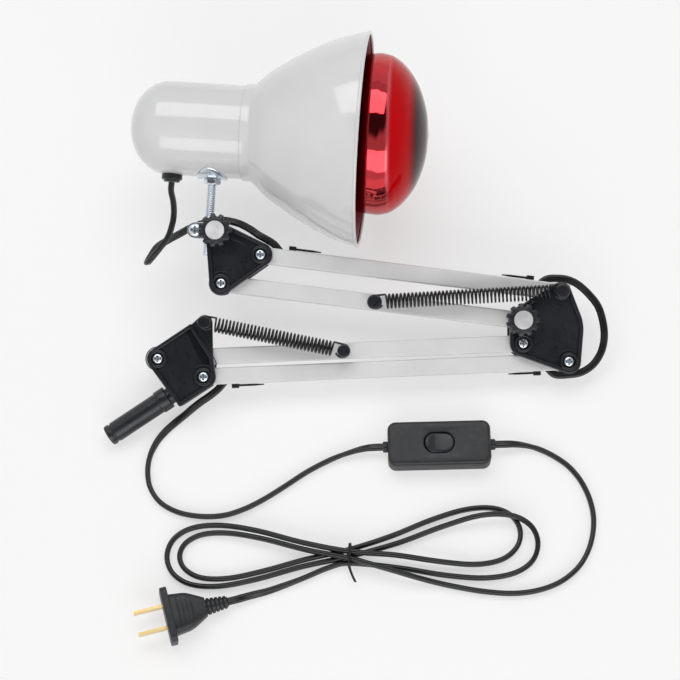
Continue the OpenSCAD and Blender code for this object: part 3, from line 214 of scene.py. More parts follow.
def edge_normals(corners):
    """Direction, in degrees, of the outward normal of the line from each corner circle to the next."""
    away = np.roll(corners, -1, 0) - corners
    length = np.linalg.norm(away[:, :2], axis=1)
    return np.degrees(np.arctan2(away[:, 1], away[:, 0]) - np.arcsin(away[:, 2] / length)) - 90


def outline(corners, grow=0.0, steps=8, least=0.35):
    """Outline round counter-clockwise corner circles [x, y, r] after every edge has moved out
    by grow. A circle grows with its edges, and one that would fall below the least radius
    moves in along the sum of its two normals instead."""
    c = np.asarray(corners, float)
    out = edge_normals(c)
    n1, n2 = way(np.roll(out, 1)), way(out)
    short = np.maximum(least - (c[:, 2] + grow), 0)
    move = -short[:, None] * (n1 + n2) / np.maximum(1 + np.sum(n1 * n2, axis=1, keepdims=True), 1e-9)
    c = np.column_stack([c[:, :2] + move, np.maximum(c[:, 2] + grow, least)])
    out = edge_normals(c)
    start = np.roll(out, 1)
    sweep = (out - start) % 360
    angles = start[:, None] + sweep[:, None] * np.linspace(0, 1, steps + 1)
    return (c[:, None, :2] + c[:, None, 2:] * way(angles)).reshape(-1, 2)


def banked(corners, profile, steps=8):
    """Grid round a flat outline: row i is the outline moved out by profile[i][0], at the height
    profile[i][1]."""
    rows = []
    for grow, z in profile:
        flat = outline(corners, grow, steps)
        rows.append(np.column_stack([flat, np.full(len(flat), z)]))
    return np.stack(rows)


def box_corners(x0, x1, y0, y1, r):
    return [(x1 - r, y0 + r, r), (x1 - r, y1 - r, r), (x0 + r, y1 - r, r), (x0 + r, y0 + r, r)]


def slab(corners, z0, z1, r, steps=8):
    """Flat plate with eased edges: in at the bottom by r, out, up, and in again at the top."""
    profile = rounded([(-r * 1.5, z0), (0, z0), (0, z1), (-r * 1.5, z1)], r, 4)
    return banked(corners, profile, steps)


# ---- Meshes ----
class Shells:
    """Closed shells gathered into one mesh. Each is a grid wrapped round its second parameter,
    whose first and last rows are closed by a face, or which runs on round its first parameter."""

    def __init__(self):
        self.points, self.quads, self.caps, self.slots, self.cap_slots = [], [], [], [], []
        self.count = 0

    def add(self, grid, place=TABLE, ring=False, slot=0):
        n, m = grid.shape[:2]
        points = place(grid.reshape(-1, 3))
        i, j = (a.ravel() for a in np.meshgrid(np.arange(n if ring else n - 1), np.arange(m), indexing="ij"))
        k, l = (i + 1) % n * m, (j + 1) % m
        quads = np.stack([i * m + j, i * m + l, k + l, k + j], -1)
        caps = [] if ring else [np.arange(m)[::-1], (n - 1) * m + np.arange(m)]
        middle = points.mean(0)
        a, b, c, d = (points[quads[:, q]] - middle for q in range(4))
        volume = np.sum(a * np.cross(b, c)) + np.sum(a * np.cross(c, d))
        for cap in caps:
            p = points[cap] - middle
            volume += np.sum(p[0] * np.cross(p, np.roll(p, -1, 0)))
        if volume < 0:
            quads, caps = quads[:, ::-1], [cap[::-1] for cap in caps]
        flat = [cap for cap in caps if np.ptp(points[cap], axis=0).max() > 1e-6]
        self.points.append(points)
        self.quads.append(quads + self.count)
        self.caps += [cap + self.count for cap in flat]
        self.slots.append(np.full(len(quads), slot))
        self.cap_slots += [slot] * len(flat)
        self.count += n * m
        return self

    def made(self, name, *finishes, sharp=32):
        points, quads = np.vstack(self.points), np.vstack(self.quads)
        sizes = np.concatenate([np.full(len(quads), 4), [len(c) for c in self.caps]]).astype(int)
        corners = np.concatenate([quads.ravel(), *self.caps]).astype(int)
        mesh = bpy.data.meshes.new(name)
        mesh.vertices.add(len(points))
        mesh.vertices.foreach_set("co", points.astype(np.float32).ravel())
        mesh.loops.add(len(corners))
        mesh.loops.foreach_set("vertex_index", corners)
        mesh.polygons.add(len(sizes))
        mesh.polygons.foreach_set("loop_start", np.concatenate([[0], np.cumsum(sizes)[:-1]]).astype(int))
        slots = np.concatenate([*self.slots, self.cap_slots]).astype(int)
        mesh.polygons.foreach_set("material_index", slots)
        mesh.update(calc_edges=True)
        return settled(name, mesh, finishes, sharp)


def settled(name, mesh, finishes, sharp):
    """Object of a mesh with its seams and poles merged, smooth but for edges past an angle."""
    shell = bmesh.new()
    shell.from_mesh(mesh)
    bmesh.ops.remove_doubles(shell, verts=shell.verts, dist=2e-7)
    shell.to_mesh(mesh)
    shell.free()
    mesh.shade_smooth()
    mesh.set_sharp_from_angle(angle=math.radians(sharp))
    for finish in finishes:
        mesh.materials.append(finish)
    made = bpy.data.objects.new(name, mesh)
    bpy.context.scene.collection.objects.link(made)
    return made


def mounted(piece, body, slot, *nodes):
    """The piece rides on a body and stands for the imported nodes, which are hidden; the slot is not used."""
    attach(piece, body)
    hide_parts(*nodes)
    return piece


# ---- Finishes ----
class Wire:
    """Output of a shader node. Arithmetic on it adds Math nodes."""

    def __init__(self, finish, socket):
        self.finish, self.socket = finish, socket

    def math(self, operation, *values):
        return self.finish.node("ShaderNodeMath", {"operation": operation}, dict(enumerate(values)))

    def __add__(self, other):
        return self.math("ADD", self, other)

    def __sub__(self, other):
        return self.math("SUBTRACT", self, other)

    def __rsub__(self, other):
        return self.math("SUBTRACT", other, self)

    def __mul__(self, other):
        return self.math("MULTIPLY", self, other)

    __radd__, __rmul__ = __add__, __mul__

    def most(self, other):
        return self.math("MAXIMUM", self, other)

    def between(self, low, high):
        """0 below low, 1 above high, and smooth between."""
        settings = {"interpolation_type": "SMOOTHSTEP"}
        return self.finish.node("ShaderNodeMapRange", settings, {0: self, 1: low, 2: high})


class Finish:
    """The nodes of a new material or world, built up one by one."""

    def __init__(self, owner):
        self.owner = owner
        self.owner.use_nodes = True
        self.tree = self.owner.node_tree
        self.tree.nodes.clear()

    def node(self, kind, settings=None, sockets=None, out=0):
        made = self.tree.nodes.new(kind)
        for key, value in (settings or {}).items():
            setattr(made, key, value)
        for key, value in (sockets or {}).items():
            if isinstance(value, Wire):
                self.tree.links.new(value.socket, made.inputs[key])
            else:
                made.inputs[key].default_value = value
        return Wire(self, made.outputs[out]) if len(made.outputs) else made

    def at(self):
        return self.node("ShaderNodeTexCoord", out="Object")

    def noise(self, scale, detail=2.0, rough=0.5):
        sockets = {"Vector": self.at(), "Scale": scale, "Detail": detail, "Roughness": rough}
        return self.node("ShaderNodeTexNoise", sockets=sockets)

    def cells(self, scale):
        return self.node("ShaderNodeTexVoronoi", sockets={"Vector": self.at(), "Scale": scale})

    def along(self, place, axis):
        """Millimetres along one axis of a place: the dot product of the point with that axis."""
        line = place.matrix[:, axis]
        sockets = {0: self.at(), 1: tuple(line)}
        dot = self.node("ShaderNodeVectorMath", {"operation": "DOT_PRODUCT"}, sockets, "Value")
        return dot * 1000 - float(line @ place.origin)

    def mix(self, share, first, second):
        sockets = {0: share, 6: first, 7: second}
        return self.node("ShaderNodeMix", {"data_type": "RGBA"}, sockets, out=2)

    def bump(self, height, depth):
        """Normal of a surface raised by height times depth, in millimetres."""
        sockets = {"Height": height, "Distance": depth / 1000, "Strength": 1.0}
        return self.node("ShaderNodeBump", sockets=sockets)

    def shade(self, **sockets):
        names = {key.replace("_", " ").title().replace("Ior", "IOR"): value for key, value in sockets.items()}
        shader = self.node("ShaderNodeBsdfPrincipled", sockets=names)
        self.node("ShaderNodeOutputMaterial", sockets={"Surface": shader})
        return self.owner


def colour(rgb, share=1.0):
    return tuple(share * c for c in rgb[:3]) + (1.0,)


def plastic(name, rgb, roughness, grain=0.02, scale=2600, wear=0.35):
    """Moulded plastic: fine spark-eroded grain, faint flow clouds and rubbed, shinier patches."""
    f = Finish(bpy.data.materials.new(name))
    cloud = f.noise(60, 3)
    rub = f.noise(210, 4, 0.65).between(0.48, 0.72)
    base = f.mix(cloud.between(0.35, 0.7), colour(rgb, 0.8), colour(rgb, 1.25))
    base = f.mix(rub * 0.25, base, colour([c * 1.6 + 0.006 for c in rgb]))
    normal = f.bump(f.noise(scale, 2), grain)
    return f.shade(base_color=base, roughness=roughness + 0.1 * cloud - wear * 0.3 * rub, normal=normal)


def metal(name, rgb, roughness, tint=(0.0, 0.0, 0.0), brushed=0.01, scale=900):
    """Plated metal: clouds of the plating's tint, fine scratches and duller spots."""
    f = Finish(bpy.data.materials.new(name))
    cloud = f.noise(150, 3)
    spots = f.noise(800, 3, 0.7).between(0.55, 0.75)
    base = f.mix(cloud.between(0.3, 0.75), colour(rgb), colour([a + b for a, b in zip(rgb, tint)]))
    base = f.mix(spots * 0.35, base, colour(rgb, 0.72))
    normal = f.bump(f.noise(scale, 4, 0.7), brushed)
    dulled = roughness + 0.12 * cloud + 0.12 * spots
    return f.shade(base_color=base, metallic=1.0, roughness=dulled, normal=normal)


def enamel(name, rgb):
    """Stoved enamel on spun sheet: orange peel, small specks and a soft tone."""
    f = Finish(bpy.data.materials.new(name))
    cloud = f.noise(22, 2)
    base = f.mix(cloud.between(0.3, 0.7), colour(rgb, 0.97), colour(rgb, 1.02))
    specks = f.cells(700).between(0.05, 0.11)
    base = f.mix(specks, colour(rgb, 0.9), base)
    normal = f.bump(f.noise(420, 2), 0.012)
    gloss = 0.12 + 0.08 * cloud
    return f.shade(base_color=base, roughness=gloss, normal=normal, coat_weight=0.5, coat_roughness=0.04)


def painted(name, rgb):
    """Satin powder coat on the rods: fine texture, slightly greyer where the fine grain runs highest."""
    f = Finish(bpy.data.materials.new(name))
    grain = f.noise(1500, 3)
    cloud = f.noise(40, 3)
    base = f.mix(cloud.between(0.3, 0.7), colour(rgb, 0.96), colour(rgb, 1.02))
    base = f.mix(grain.between(0.66, 0.8) * 0.3, base, colour(rgb, 0.82))
    return f.shade(base_color=base, roughness=0.34 + 0.12 * cloud, normal=f.bump(grain, 0.02))


def vinyl(name, rgb):
    """Soft lead sheath: shallow extrusion ripple and dusty, duller stretches."""
    f = Finish(bpy.data.materials.new(name))
    ripple = f.noise(260, 3)
    dust = f.noise(90, 4, 0.6).between(0.45, 0.75)
    base = f.mix(dust * 0.5, colour(rgb), colour([c * 1.7 + 0.004 for c in rgb]))
    return f.shade(base_color=base, roughness=0.27 + 0.1 * ripple + 0.14 * dust, normal=f.bump(ripple, 0.05))


def ruby_glass(name, rgb):
    """Ruby bulb: mirrored behind its side as far as a soft seam with a painted pink highlight along it,
    then a bright band of bare glass whose colour is painted darker, to near black over the front, as shade
    and dark reflection."""
    f = Finish(bpy.data.materials.new(name))
    x = f.along(HOLDER, 0)
    bare = x.between(104.5, 107.5)
    # painted shade: the bare glass's colour darkens to near black over the front, standing in for dark
    # reflections
    painted_dark_front = x.between(115.5, 122.0)
    # painted highlight: a pale pink line where the mirror coating really ends, rougher there
    seam = x.between(103.6, 104.6) * (1 - x.between(105.2, 106.4))
    waves = f.noise(55, 3)
    tone = f.mix(waves.between(0.35, 0.7), colour(rgb, 0.88), colour(rgb, 1.1))
    glass = f.mix(painted_dark_front, colour([0.56, 0.001, 0.004]), colour([0.02, 0.0, 0.001]))
    base = f.mix(seam * 0.5, f.mix(bare, tone, glass), colour([0.75, 0.14, 0.17]))
    return f.shade(
        base_color=base,
        metallic=1 - bare,
        roughness=0.05 + 0.04 * waves + 0.2 * seam,
        normal=f.bump(f.noise(34, 1), 0.05),
        specular_tint=(0.6, 0.05, 0.08, 1.0),
        specular_ior_level=0.12,
        coat_weight=0.06 + 0.6 * (1 - bare),
        coat_ior=1.7,
        coat_roughness=0.02,
    )


def ceramic(name, rgb):
    f = Finish(bpy.data.materials.new(name))
    cloud = f.noise(70, 3)
    base = f.mix(cloud.between(0.3, 0.7), colour(rgb, 0.94), colour(rgb, 1.02))
    return f.shade(base_color=base, roughness=0.3 + 0.2 * cloud, normal=f.bump(f.noise(700, 3), 0.02))


def lining(name):
    """Inside of the shade: the same enamel's peel, with painted red light and shade from the bulb for its
    colour, pinkish grey in the neck and deep red towards the mouth.
    """
    f = Finish(bpy.data.materials.new(name))
    x = f.along(HEAD, 0)
    cloud = f.noise(30, 2)
    # painted red light: the colour runs from pinkish grey to deep red towards the mouth
    painted_red_light = x.between(30.0, 84.0)
    base = f.mix(painted_red_light, colour([0.5, 0.3, 0.3]), colour([0.2, 0.012, 0.022]))
    base = f.mix(cloud.between(0.3, 0.8) * 0.3, base, colour([0.1, 0.01, 0.015]))
    peel = f.bump(f.noise(420, 2), 0.012)
    return f.shade(base_color=base, roughness=0.16 + 0.1 * cloud, normal=peel, metallic=0.55)


def finishes(look):
    """Every finish of the lamp, by name."""
    return {
        "enamel": enamel("white_enamel", look.enamel),
        "rod": painted("rod_powder_coat", look.rods),
        "plastic": plastic("bracket_plastic", look.plastic, 0.27, 0.03, 1700),
        "knob": plastic("knob_plastic", look.plastic, 0.3),
        "spigot": plastic("spigot_plastic", look.plastic, 0.3, 0.01),
        "cap": plastic("knob_cap_plastic", look.caps, 0.3, 0.008, 1200, 0.2),
        "switch": plastic("switch_plastic", look.switch, 0.42, 0.03, 3200),
        "lead": vinyl("lead_vinyl", look.lead),
        "spring": plastic("spring_lacquer", look.lead, 0.24, 0.01, 900),
        "zinc": metal("zinc_plate", look.zinc, 0.2, (-0.05, 0.0, 0.05)),
        "stem": metal("stem_zinc", look.zinc, 0.16, (-0.06, -0.01, 0.06)),
        "brass": metal("brass", look.brass, 0.24, (0.03, 0.0, -0.05)),
        "ceramic": ceramic("ceramic", look.ceramic),
        "ruby": ruby_glass("ruby_glass", look.ruby),
        "lining": lining("shade_lining_painted_red"),
    }


# ---- User's sizes and colours ----
def length(name, description, default):
    return bpy.props.FloatProperty(
        name=name, description=description, default=default, min=default * 0.5, max=default * 1.5,
        precision=4, subtype="DISTANCE", unit="LENGTH",
    )


def paint(name, description, default):
    return bpy.props.FloatVectorProperty(
        name=name, description=description, default=default, size=3, min=0.0, max=1.0, subtype="COLOR",
    )


class HeatLampSizes(bpy.types.PropertyGroup):
    wire: length("Spring Wire", "Thickness of the wire that the springs are wound from", 0.0012)
    lead_width: length("Lead Width", "Width of the flat twin lead", 0.0046)
    lead_thickness: length("Lead Thickness", "Thickness of the flat twin lead", 0.003)
    thread_pitch: length("Thread Pitch", "Distance from one thread to the next on the stem", 0.00125)
    thread_depth: length("Thread Depth", "Depth of the stem's thread", 0.00042)
    edge: length("Moulded Edge", "How far the edges of the moulded brackets are eased", 0.0007)


class HeatLampColours(bpy.types.PropertyGroup):
    enamel: paint("Enamel", "Colour of the shade and its neck", (0.76, 0.76, 0.765))
    rods: paint("Rods", "Colour of the arm's rods", (0.76, 0.76, 0.765))
    plastic: paint("Brackets", "Colour of the brackets, knobs and spigot", (0.012, 0.0135, 0.018))
    switch: paint("Switch", "Colour of the inline switch and the plug", (0.014, 0.015, 0.018))
    lead: paint("Lead", "Colour of the lead and the springs", (0.006, 0.0065, 0.008))
    caps: paint("Knob Caps", "Colour of the knobs' caps", (0.62, 0.62, 0.63))
    zinc: paint("Zinc", "Colour of the plated steel", (0.74, 0.77, 0.81))
    brass: paint("Brass", "Colour of the plug's blades and the holder's shell", (0.80, 0.60, 0.28))
    ceramic: paint("Ceramic", "Colour of the lamp holder", (0.80, 0.78, 0.72))
    ruby: paint("Ruby Glass", "Colour of the bulb", (0.62, 0.004, 0.016))


class HeatLampStage(bpy.types.PropertyGroup):
    key: bpy.props.FloatProperty(
        name="Softboxes", description="Strength of the two softboxes above the table",
        default=1.0, min=0.0, max=4.0,
    )
    fill: bpy.props.FloatProperty(
        name="Fill", description="Strength of the even light from all round",
        default=0.55, min=0.0, max=2.0,
    )
    floor: paint("Table", "Colour of the table and the backdrop", (0.86, 0.86, 0.86))


STORE = {}


def finish(name):
    if not STORE:
        STORE.update(finishes(bpy.context.scene.heat_lamp_colours))
    return STORE[name]


def sizes():
    return bpy.context.scene.heat_lamp_sizes


# ---- Camera, lights and table ----
class HEATLAMP_OT_stage(bpy.types.Operator):
    """Camera over the table, two softboxes under a dark ceiling, and a white backdrop"""

    bl_idname = "heat_lamp.stage"
    bl_label = "Stage"

    def execute(self, context):
        look = context.scene.heat_lamp_stage
        camera = bpy.data.cameras.new("camera")
        camera.lens, camera.sensor_width = 88.2, 36.0
        camera.clip_start, camera.clip_end = 0.01, 50.0
        held = bpy.data.objects.new("camera", camera)
        context.scene.collection.objects.link(held)
        placed(held, ARM, (0, 0, 1000))
        context.scene.camera = held

        softbox("softbox_far", (-150.0, 950.0, 980.0), 1.5, 0.8, 9.5 * look.key)
        softbox("softbox_near", (100.0, -900.0, 1000.0), 1.5, 0.8, 8.0 * look.key)

        context.scene.world = studio(look.fill)
        context.scene.view_settings.view_transform = "Standard"

        floor = Shells()
        rim = [(0, 0), (2600, 0), (3100, 40), (3450, 200), (3600, 520), (3640, 900), (3650, 2600)]
        floor.add(turned(np.vstack([smooth(rim, 6), [(3700, 2600), (3700, -40), (0, -40)]]), 96))
        stage = floor.made("table_and_backdrop", backdrop(look.floor), sharp=60)
        return {"FINISHED"}


def placed(thing, place, origin):
    """Stands a camera or a lamp in a place, looking down its z axis."""
    matrix = np.eye(4)
    matrix[:3, :3] = place.matrix
    matrix[:3, 3] = place([origin])[0]
    thing.matrix_world = Matrix(matrix.tolist())


def softbox(name, at, wide, painted_dark_front, watts):
    """Area lamp above the arm plane that faces the middle of the lamp."""
    lamp = bpy.data.lights.new(name, "AREA")
    lamp.shape, lamp.size, lamp.size_y, lamp.energy = "RECTANGLE", wide, painted_dark_front, watts
    back = unit(np.array(at))
    side = unit(np.cross([0.0, 1.0, 0.0], back))
    matrix = np.column_stack([side, np.cross(back, side), back])
    held = bpy.data.objects.new(name, lamp)
    bpy.context.scene.collection.objects.link(held)
    placed(held, ARM.on(matrix, at), (0, 0, 0))
    held.visible_camera = False


def studio(fill):
    """Even light from all round, with a dark ceiling between the two softboxes."""
    f = Finish(bpy.data.worlds.new("studio"))
    up = f.node("ShaderNodeSeparateXYZ", sockets={0: f.node("ShaderNodeTexCoord")}, out=2)
    strength = fill * (1 - 0.92 * up.between(0.8, 0.9))
    light = f.node("ShaderNodeBackground", sockets={"Color": (1.0, 1.0, 1.0, 1.0), "Strength": strength})
    f.node("ShaderNodeOutputWorld", sockets={"Surface": light})
    return f.owner


def backdrop(rgb):
    """White paper: it keeps the shadows and is lifted to white where it is seen directly."""
    f = Finish(bpy.data.materials.new("white_paper"))
    fibre = f.noise(500, 3)
    base = f.mix(fibre.between(0.3, 0.7), colour(rgb, 0.99), colour(rgb, 1.01))
    paper = f.node("ShaderNodeBsdfDiffuse", sockets={"Color": base})
    seen_base = f.node("ShaderNodeBsdfDiffuse", sockets={"Color": colour(rgb, 0.5)})
    lift = f.node("ShaderNodeEmission", sockets={"Color": (1.0, 1.0, 1.0, 1.0), "Strength": 0.56})
    both = f.node("ShaderNodeAddShader", sockets={0: seen_base, 1: lift})
    seen = f.node("ShaderNodeLightPath", out="Is Camera Ray")
    gloss = f.node("ShaderNodeLightPath", out="Is Glossy Ray")
    through = f.node("ShaderNodeLightPath", out="Is Transmission Ray")
    surface = f.node("ShaderNodeMixShader", sockets={0: seen.most(gloss).most(through), 1: paper, 2: both})
    f.node("ShaderNodeOutputMaterial", sockets={"Surface": surface})
    return f.owner


# ---- Lead ----
def on_rod(pivot, angle, s):
    return spot(pivot + s * way(angle))


LEAD_INSIDE, LEAD_STRAIGHT = 22.5, 19.5
HEAD_AXIS = turn("Z", HEAD_TILT) @ turn("Y", -HEAD_TURN) @ np.array([1.0, 0.0, 0.0])
HEAD_UP = spot(way(HEAD_TILT + 90))
GROMMET_X, GROMMET_END = -24.5, 32.6
GROMMET_FACE = spot(HEAD_AT) + GROMMET_X * HEAD_AXIS - GROMMET_END * HEAD_UP

HEAD_ROUTE = np.vstack([
    [GROMMET_FACE, GROMMET_FACE - 5 * HEAD_UP],
    [
        (-100.2, 83, -1.5), (-99.8, 76, -1), (-100.8, 69.5, -1), (-103.5, 61.5, -1),
        (-108.2, 55.2, -1), (-112.3, 50.2, -1.5), (-115.3, 47.2, -4), (-116.4, 47, -8),
        (-115.2, 50, -11.5), (-111, 56.5, -12.8), (-104, 61, -13), (-97, 64.8, -13),
        (-91, 68, -12.6), (-84, 70.6, -12), (-76.5, 72.4, -11.5), (-69.6, 72.6, -11.3),
        (-61.4, 70.6, -9), (-54.5, 67, -4.5), (-48.8, 63, -1), (-43.5, 60, 0),
        (-39.3, 57.2, 0), (-36.5, 53.8, 0), (-33.6, 51, 0),
    ],
    [on_rod(H1, UPPER_ANGLE, LEAD_STRAIGHT), on_rod(H1, UPPER_ANGLE, LEAD_INSIDE)],
])
CLAMP_FROM, BRACKET_FROM = 9, 17

ELBOW_ROUTE = np.vstack([
    [on_rod(H1, UPPER_ANGLE, UPPER_LEN - LEAD_INSIDE), on_rod(H1, UPPER_ANGLE, UPPER_LEN - LEAD_STRAIGHT)],
    [
        (116.5, 31.8, 0), (119.5, 33, 0), (121.8, 35.2, 0), (125.2, 36.8, 0), (130, 37, 0),
        (136, 36.4, 0), (142.5, 33.5, 0), (149, 27.8, 0), (154.8, 20.3, 0), (157.8, 11, 0),
        (158.6, 1.5, 0), (156.6, -7.5, 0), (151.6, -15, 0), (144.5, -19.5, 0),
        (136.5, -20.8, 0), (130.5, -21, 0), (127.2, -19.6, 0), (124.5, -16.8, 0), (121, -14.6, 0),
    ],
    [on_rod(P2, LOWER_ANGLE, LOWER_LEN - LEAD_STRAIGHT), on_rod(P2, LOWER_ANGLE, LOWER_LEN - LEAD_INSIDE)],
])
ELBOW_MIDDLE = 11

SWITCH = TABLE.on(turn("Z", 1.6), (49.8, -118.7, 0.0))
SWITCH_L, SWITCH_W, SWITCH_H = 61.0, 27.0, 14.0
CORD_LEVEL, COLLAR_OUT = 6.0, 3.0
COLLAR_AT = SWITCH_L / 2 + COLLAR_OUT
PLUG = TABLE.on(turn("Z", 16) @ turn("Y", 8), (-108.5, -222.3, 9.5))
RELIEF_FROM, RELIEF_END = 20.0, 37.0


def in_mm(place, points):
    return place(points) * 1000


BASE_ROUTE = np.vstack([
    in_mm(ARM, [
        on_rod(P2, LOWER_ANGLE, LEAD_INSIDE), on_rod(P2, LOWER_ANGLE, LEAD_STRAIGHT),
        (-63.2, -21.3, 0), (-65.5, -22.3, 0), (-68.5, -24.2, 0), (-70.8, -26.8, 0),
        (-73.5, -29.8, 0), (-78.5, -33.8, -0.5), (-83.5, -37.2, -2), (-88.5, -41, -4),
    ]),
    [
        (-103.3, -99.2, 3.3), (-108.7, -103.4, 2.2), (-114.7, -109.2, 2.2), (-119.7, -116, 2.2),
        (-123.3, -125, 2.2), (-124.1, -134.5, 2.2), (-121.9, -144.4, 2.2), (-115.3, -153.2, 2.2),
        (-104.3, -159, 2.2), (-90.7, -161.3, 2.2), (-77.5, -160.6, 2.2), (-65.7, -156.8, 2.2),
        (-54.1, -150.8, 2.2), (-41.7, -142.8, 2.2), (-28.1, -133.6, 2.2), (-13.7, -126, 2.4),
        (-1.7, -121.8, 3.8), (6.3, -120.1, 5.2),
    ],
    in_mm(SWITCH, [(-COLLAR_AT - 4, 0, CORD_LEVEL), (-COLLAR_AT, 0, CORD_LEVEL)]),
])
TABLE_FROM = 10

TIE_AT = np.array([-2.7, -185.0])
FLOOR_Z, LAYER, TIE_LIFT, STRAND_PITCH, LOBE_STEPS = 2.1, 4.6, 1.1, 4.0, 12


def lobe(axis, reach, half_width, o1, o2, z1, z2, crossing=0.0, hump=0.0, last=False):
    """One lobe of the hank from the tie and back, for t from 0 to 1: sin(180t) along the axis,
    sin(360t) sin(180t)^0.4 across it, offsets o1 and o2 that fade over 0.3 of the way, and
    heights that ease from layer z1 to layer z2 with a hump where it crosses itself."""
    t = np.arange(LOBE_STEPS + int(last)) / LOBE_STEPS
    u = way(axis)
    v = np.array([-u[1], u[0]]) * (-1 if u[0] < 0 else 1)
    side = np.sin(2 * np.pi * t) * np.maximum(0, np.sin(np.pi * t)) ** 0.4 / 0.9
    shift = o1 * (1 - np.clip(t / 0.3, 0, 1)) + o2 * (1 - np.clip((1 - t) / 0.3, 0, 1))
    flat = TIE_AT + reach * np.sin(np.pi * t)[:, None] * u + (half_width * side + shift)[:, None] * v
    z = z1 * (1 - step(t, 0.1, 0.32)) + z2 * step(t, 0.68, 0.9)
    z = z + hump * (step(t, crossing - 0.26, crossing - 0.14) - step(t, crossing + 0.06, crossing + 0.2))
    z = FLOOR_Z + LAYER * z + TIE_LIFT * np.maximum(0, 1 - 12 * np.minimum(t, 1 - t))
    return np.column_stack([flat, z])


HANK_ROUTE = np.vstack([
    in_mm(SWITCH, [(COLLAR_AT, 0, CORD_LEVEL), (COLLAR_AT + 5, 0, CORD_LEVEL)]),
    [
        (94.8, -117.2, 4.6), (101.8, -117.6, 2.8), (109.3, -119.6, 2.1), (117.8, -123.8, 2.1),
        (126.3, -130, 2.1), (133.3, -138.8, 2.1), (138.3, -150.3, 2.1), (140.1, -163, 2.1),
        (137.7, -177, 2.1), (131.3, -189.2, 2.1), (120.8, -198.4, 2.1), (107.8, -203.8, 2.1),
        (92.6, -206, 2.1), (75.3, -205, 2.1), (58.3, -202.2, 2.1), (45.3, -199.6, 3.4),
        (32.3, -196.6, 6.2), (19.3, -193, 7.4), (8.3, -190, 7.8),
    ],
    lobe(180, 100, 14.2, -STRAND_PITCH / 2, STRAND_PITCH, 1, 0),
    lobe(9.3, 101, 17, STRAND_PITCH, STRAND_PITCH / 2, 0, 1),
    lobe(180, 107.5, 18.4, STRAND_PITCH / 2, 0, 1, 0),
    lobe(4.6, 110, 18.3, 0, -STRAND_PITCH, 0, 0, 0.38, 1, last=True),
    [(-14.7, -191.4, 2.1), (-31.7, -198.6, 2.1), (-48.7, -205, 2.1), (-59.7, -208.2, 3)],
    in_mm(PLUG, [(RELIEF_END + 5, 0, 0), (RELIEF_END, 0, 0)]),
])


def rolled(tangent, share):
    """Up vectors of the flat lead: lying flat at share 0, standing on its edge at share 1."""
    up = np.array([0.0, 0.0, 1.0])
    flat = unit(up - (tangent @ up)[:, None] * tangent)
    edge = unit(np.cross(up, tangent))
    turned_by = np.pi / 2 * np.asarray(share, float)[:, None]
    return np.cos(turned_by) * flat + np.sin(turned_by) * edge


def lead_shell(route, ups, first, last, place, steps):
    """Stretch of a route's lead and the line that it follows, in metres."""
    s = sizes()
    path = smooth(route, steps)
    tangent = tangents(path)
    up = unit(between(ups, steps))
    part = slice(first * steps, last * steps + 1)
    section = twin_section(s.lead_width * 1000, s.lead_thickness * 1000)
    return Shells().add(swept(path[part], tangent[part], up[part], section), place), place(path[part])


def free_cords():
    """The two free cords: from the base to the switch, and from the switch to the plug."""
    s = sizes()
    i = np.arange(len(BASE_ROUTE))
    tangent = tangents(BASE_ROUTE)
    share = np.clip(np.minimum((i - TABLE_FROM) / 4, (len(i) - 2 - i) / 3), 0, 1)
    flat = np.broadcast_to(ARM.matrix[:, 2], tangent.shape)
    base_ups = np.where(i[:, None] < TABLE_FROM, flat, rolled(tangent, share))
    k = np.arange(len(HANK_ROUTE))
    share = np.clip(np.minimum(np.maximum(0, k - 1), np.maximum(0, len(k) - 2 - k)) / 3, 0, 1)
    hank_ups = rolled(tangents(HANK_ROUTE), share)
    made = {}
    for name, route, ups, first in (
        ("cord_to_switch", BASE_ROUTE, base_ups, TABLE_FROM),
        ("cord_hank", HANK_ROUTE, hank_ups, 0),
    ):
        shell, path = lead_shell(route, ups, first, len(route) - 1, TABLE, 5)
        piece = mounted(shell.made(name + "_lead", finish("lead")), "base", "lead_black", name)
        made[name] = (piece, path, float(np.linalg.norm(np.diff(path, axis=0), axis=1).sum()))
    return made, base_ups, s.lead_width


class HEATLAMP_OT_cords(bpy.types.Operator):
    """Flat twin lead on the table, on its edge in its bends, with the hank held by the tie"""

    bl_idname = "heat_lamp.cords"
    bl_label = "Cords"

    def execute(self, context):
        made, base_ups, width = free_cords()
        STORE["base_ups"] = base_ups
        STORE["cords"] = (made, width)
        return {"FINISHED"}


def declare_cords():
    """Takes the cords' pieces from the store once they are made, and picks each one's lay, loose or coiled;
    nothing is done with it.
    """
    made, width = STORE.pop("cords")
    for name, (piece, path, metres) in made.items():
        lay = "loose" if name == "cord_to_switch" else "coiled"


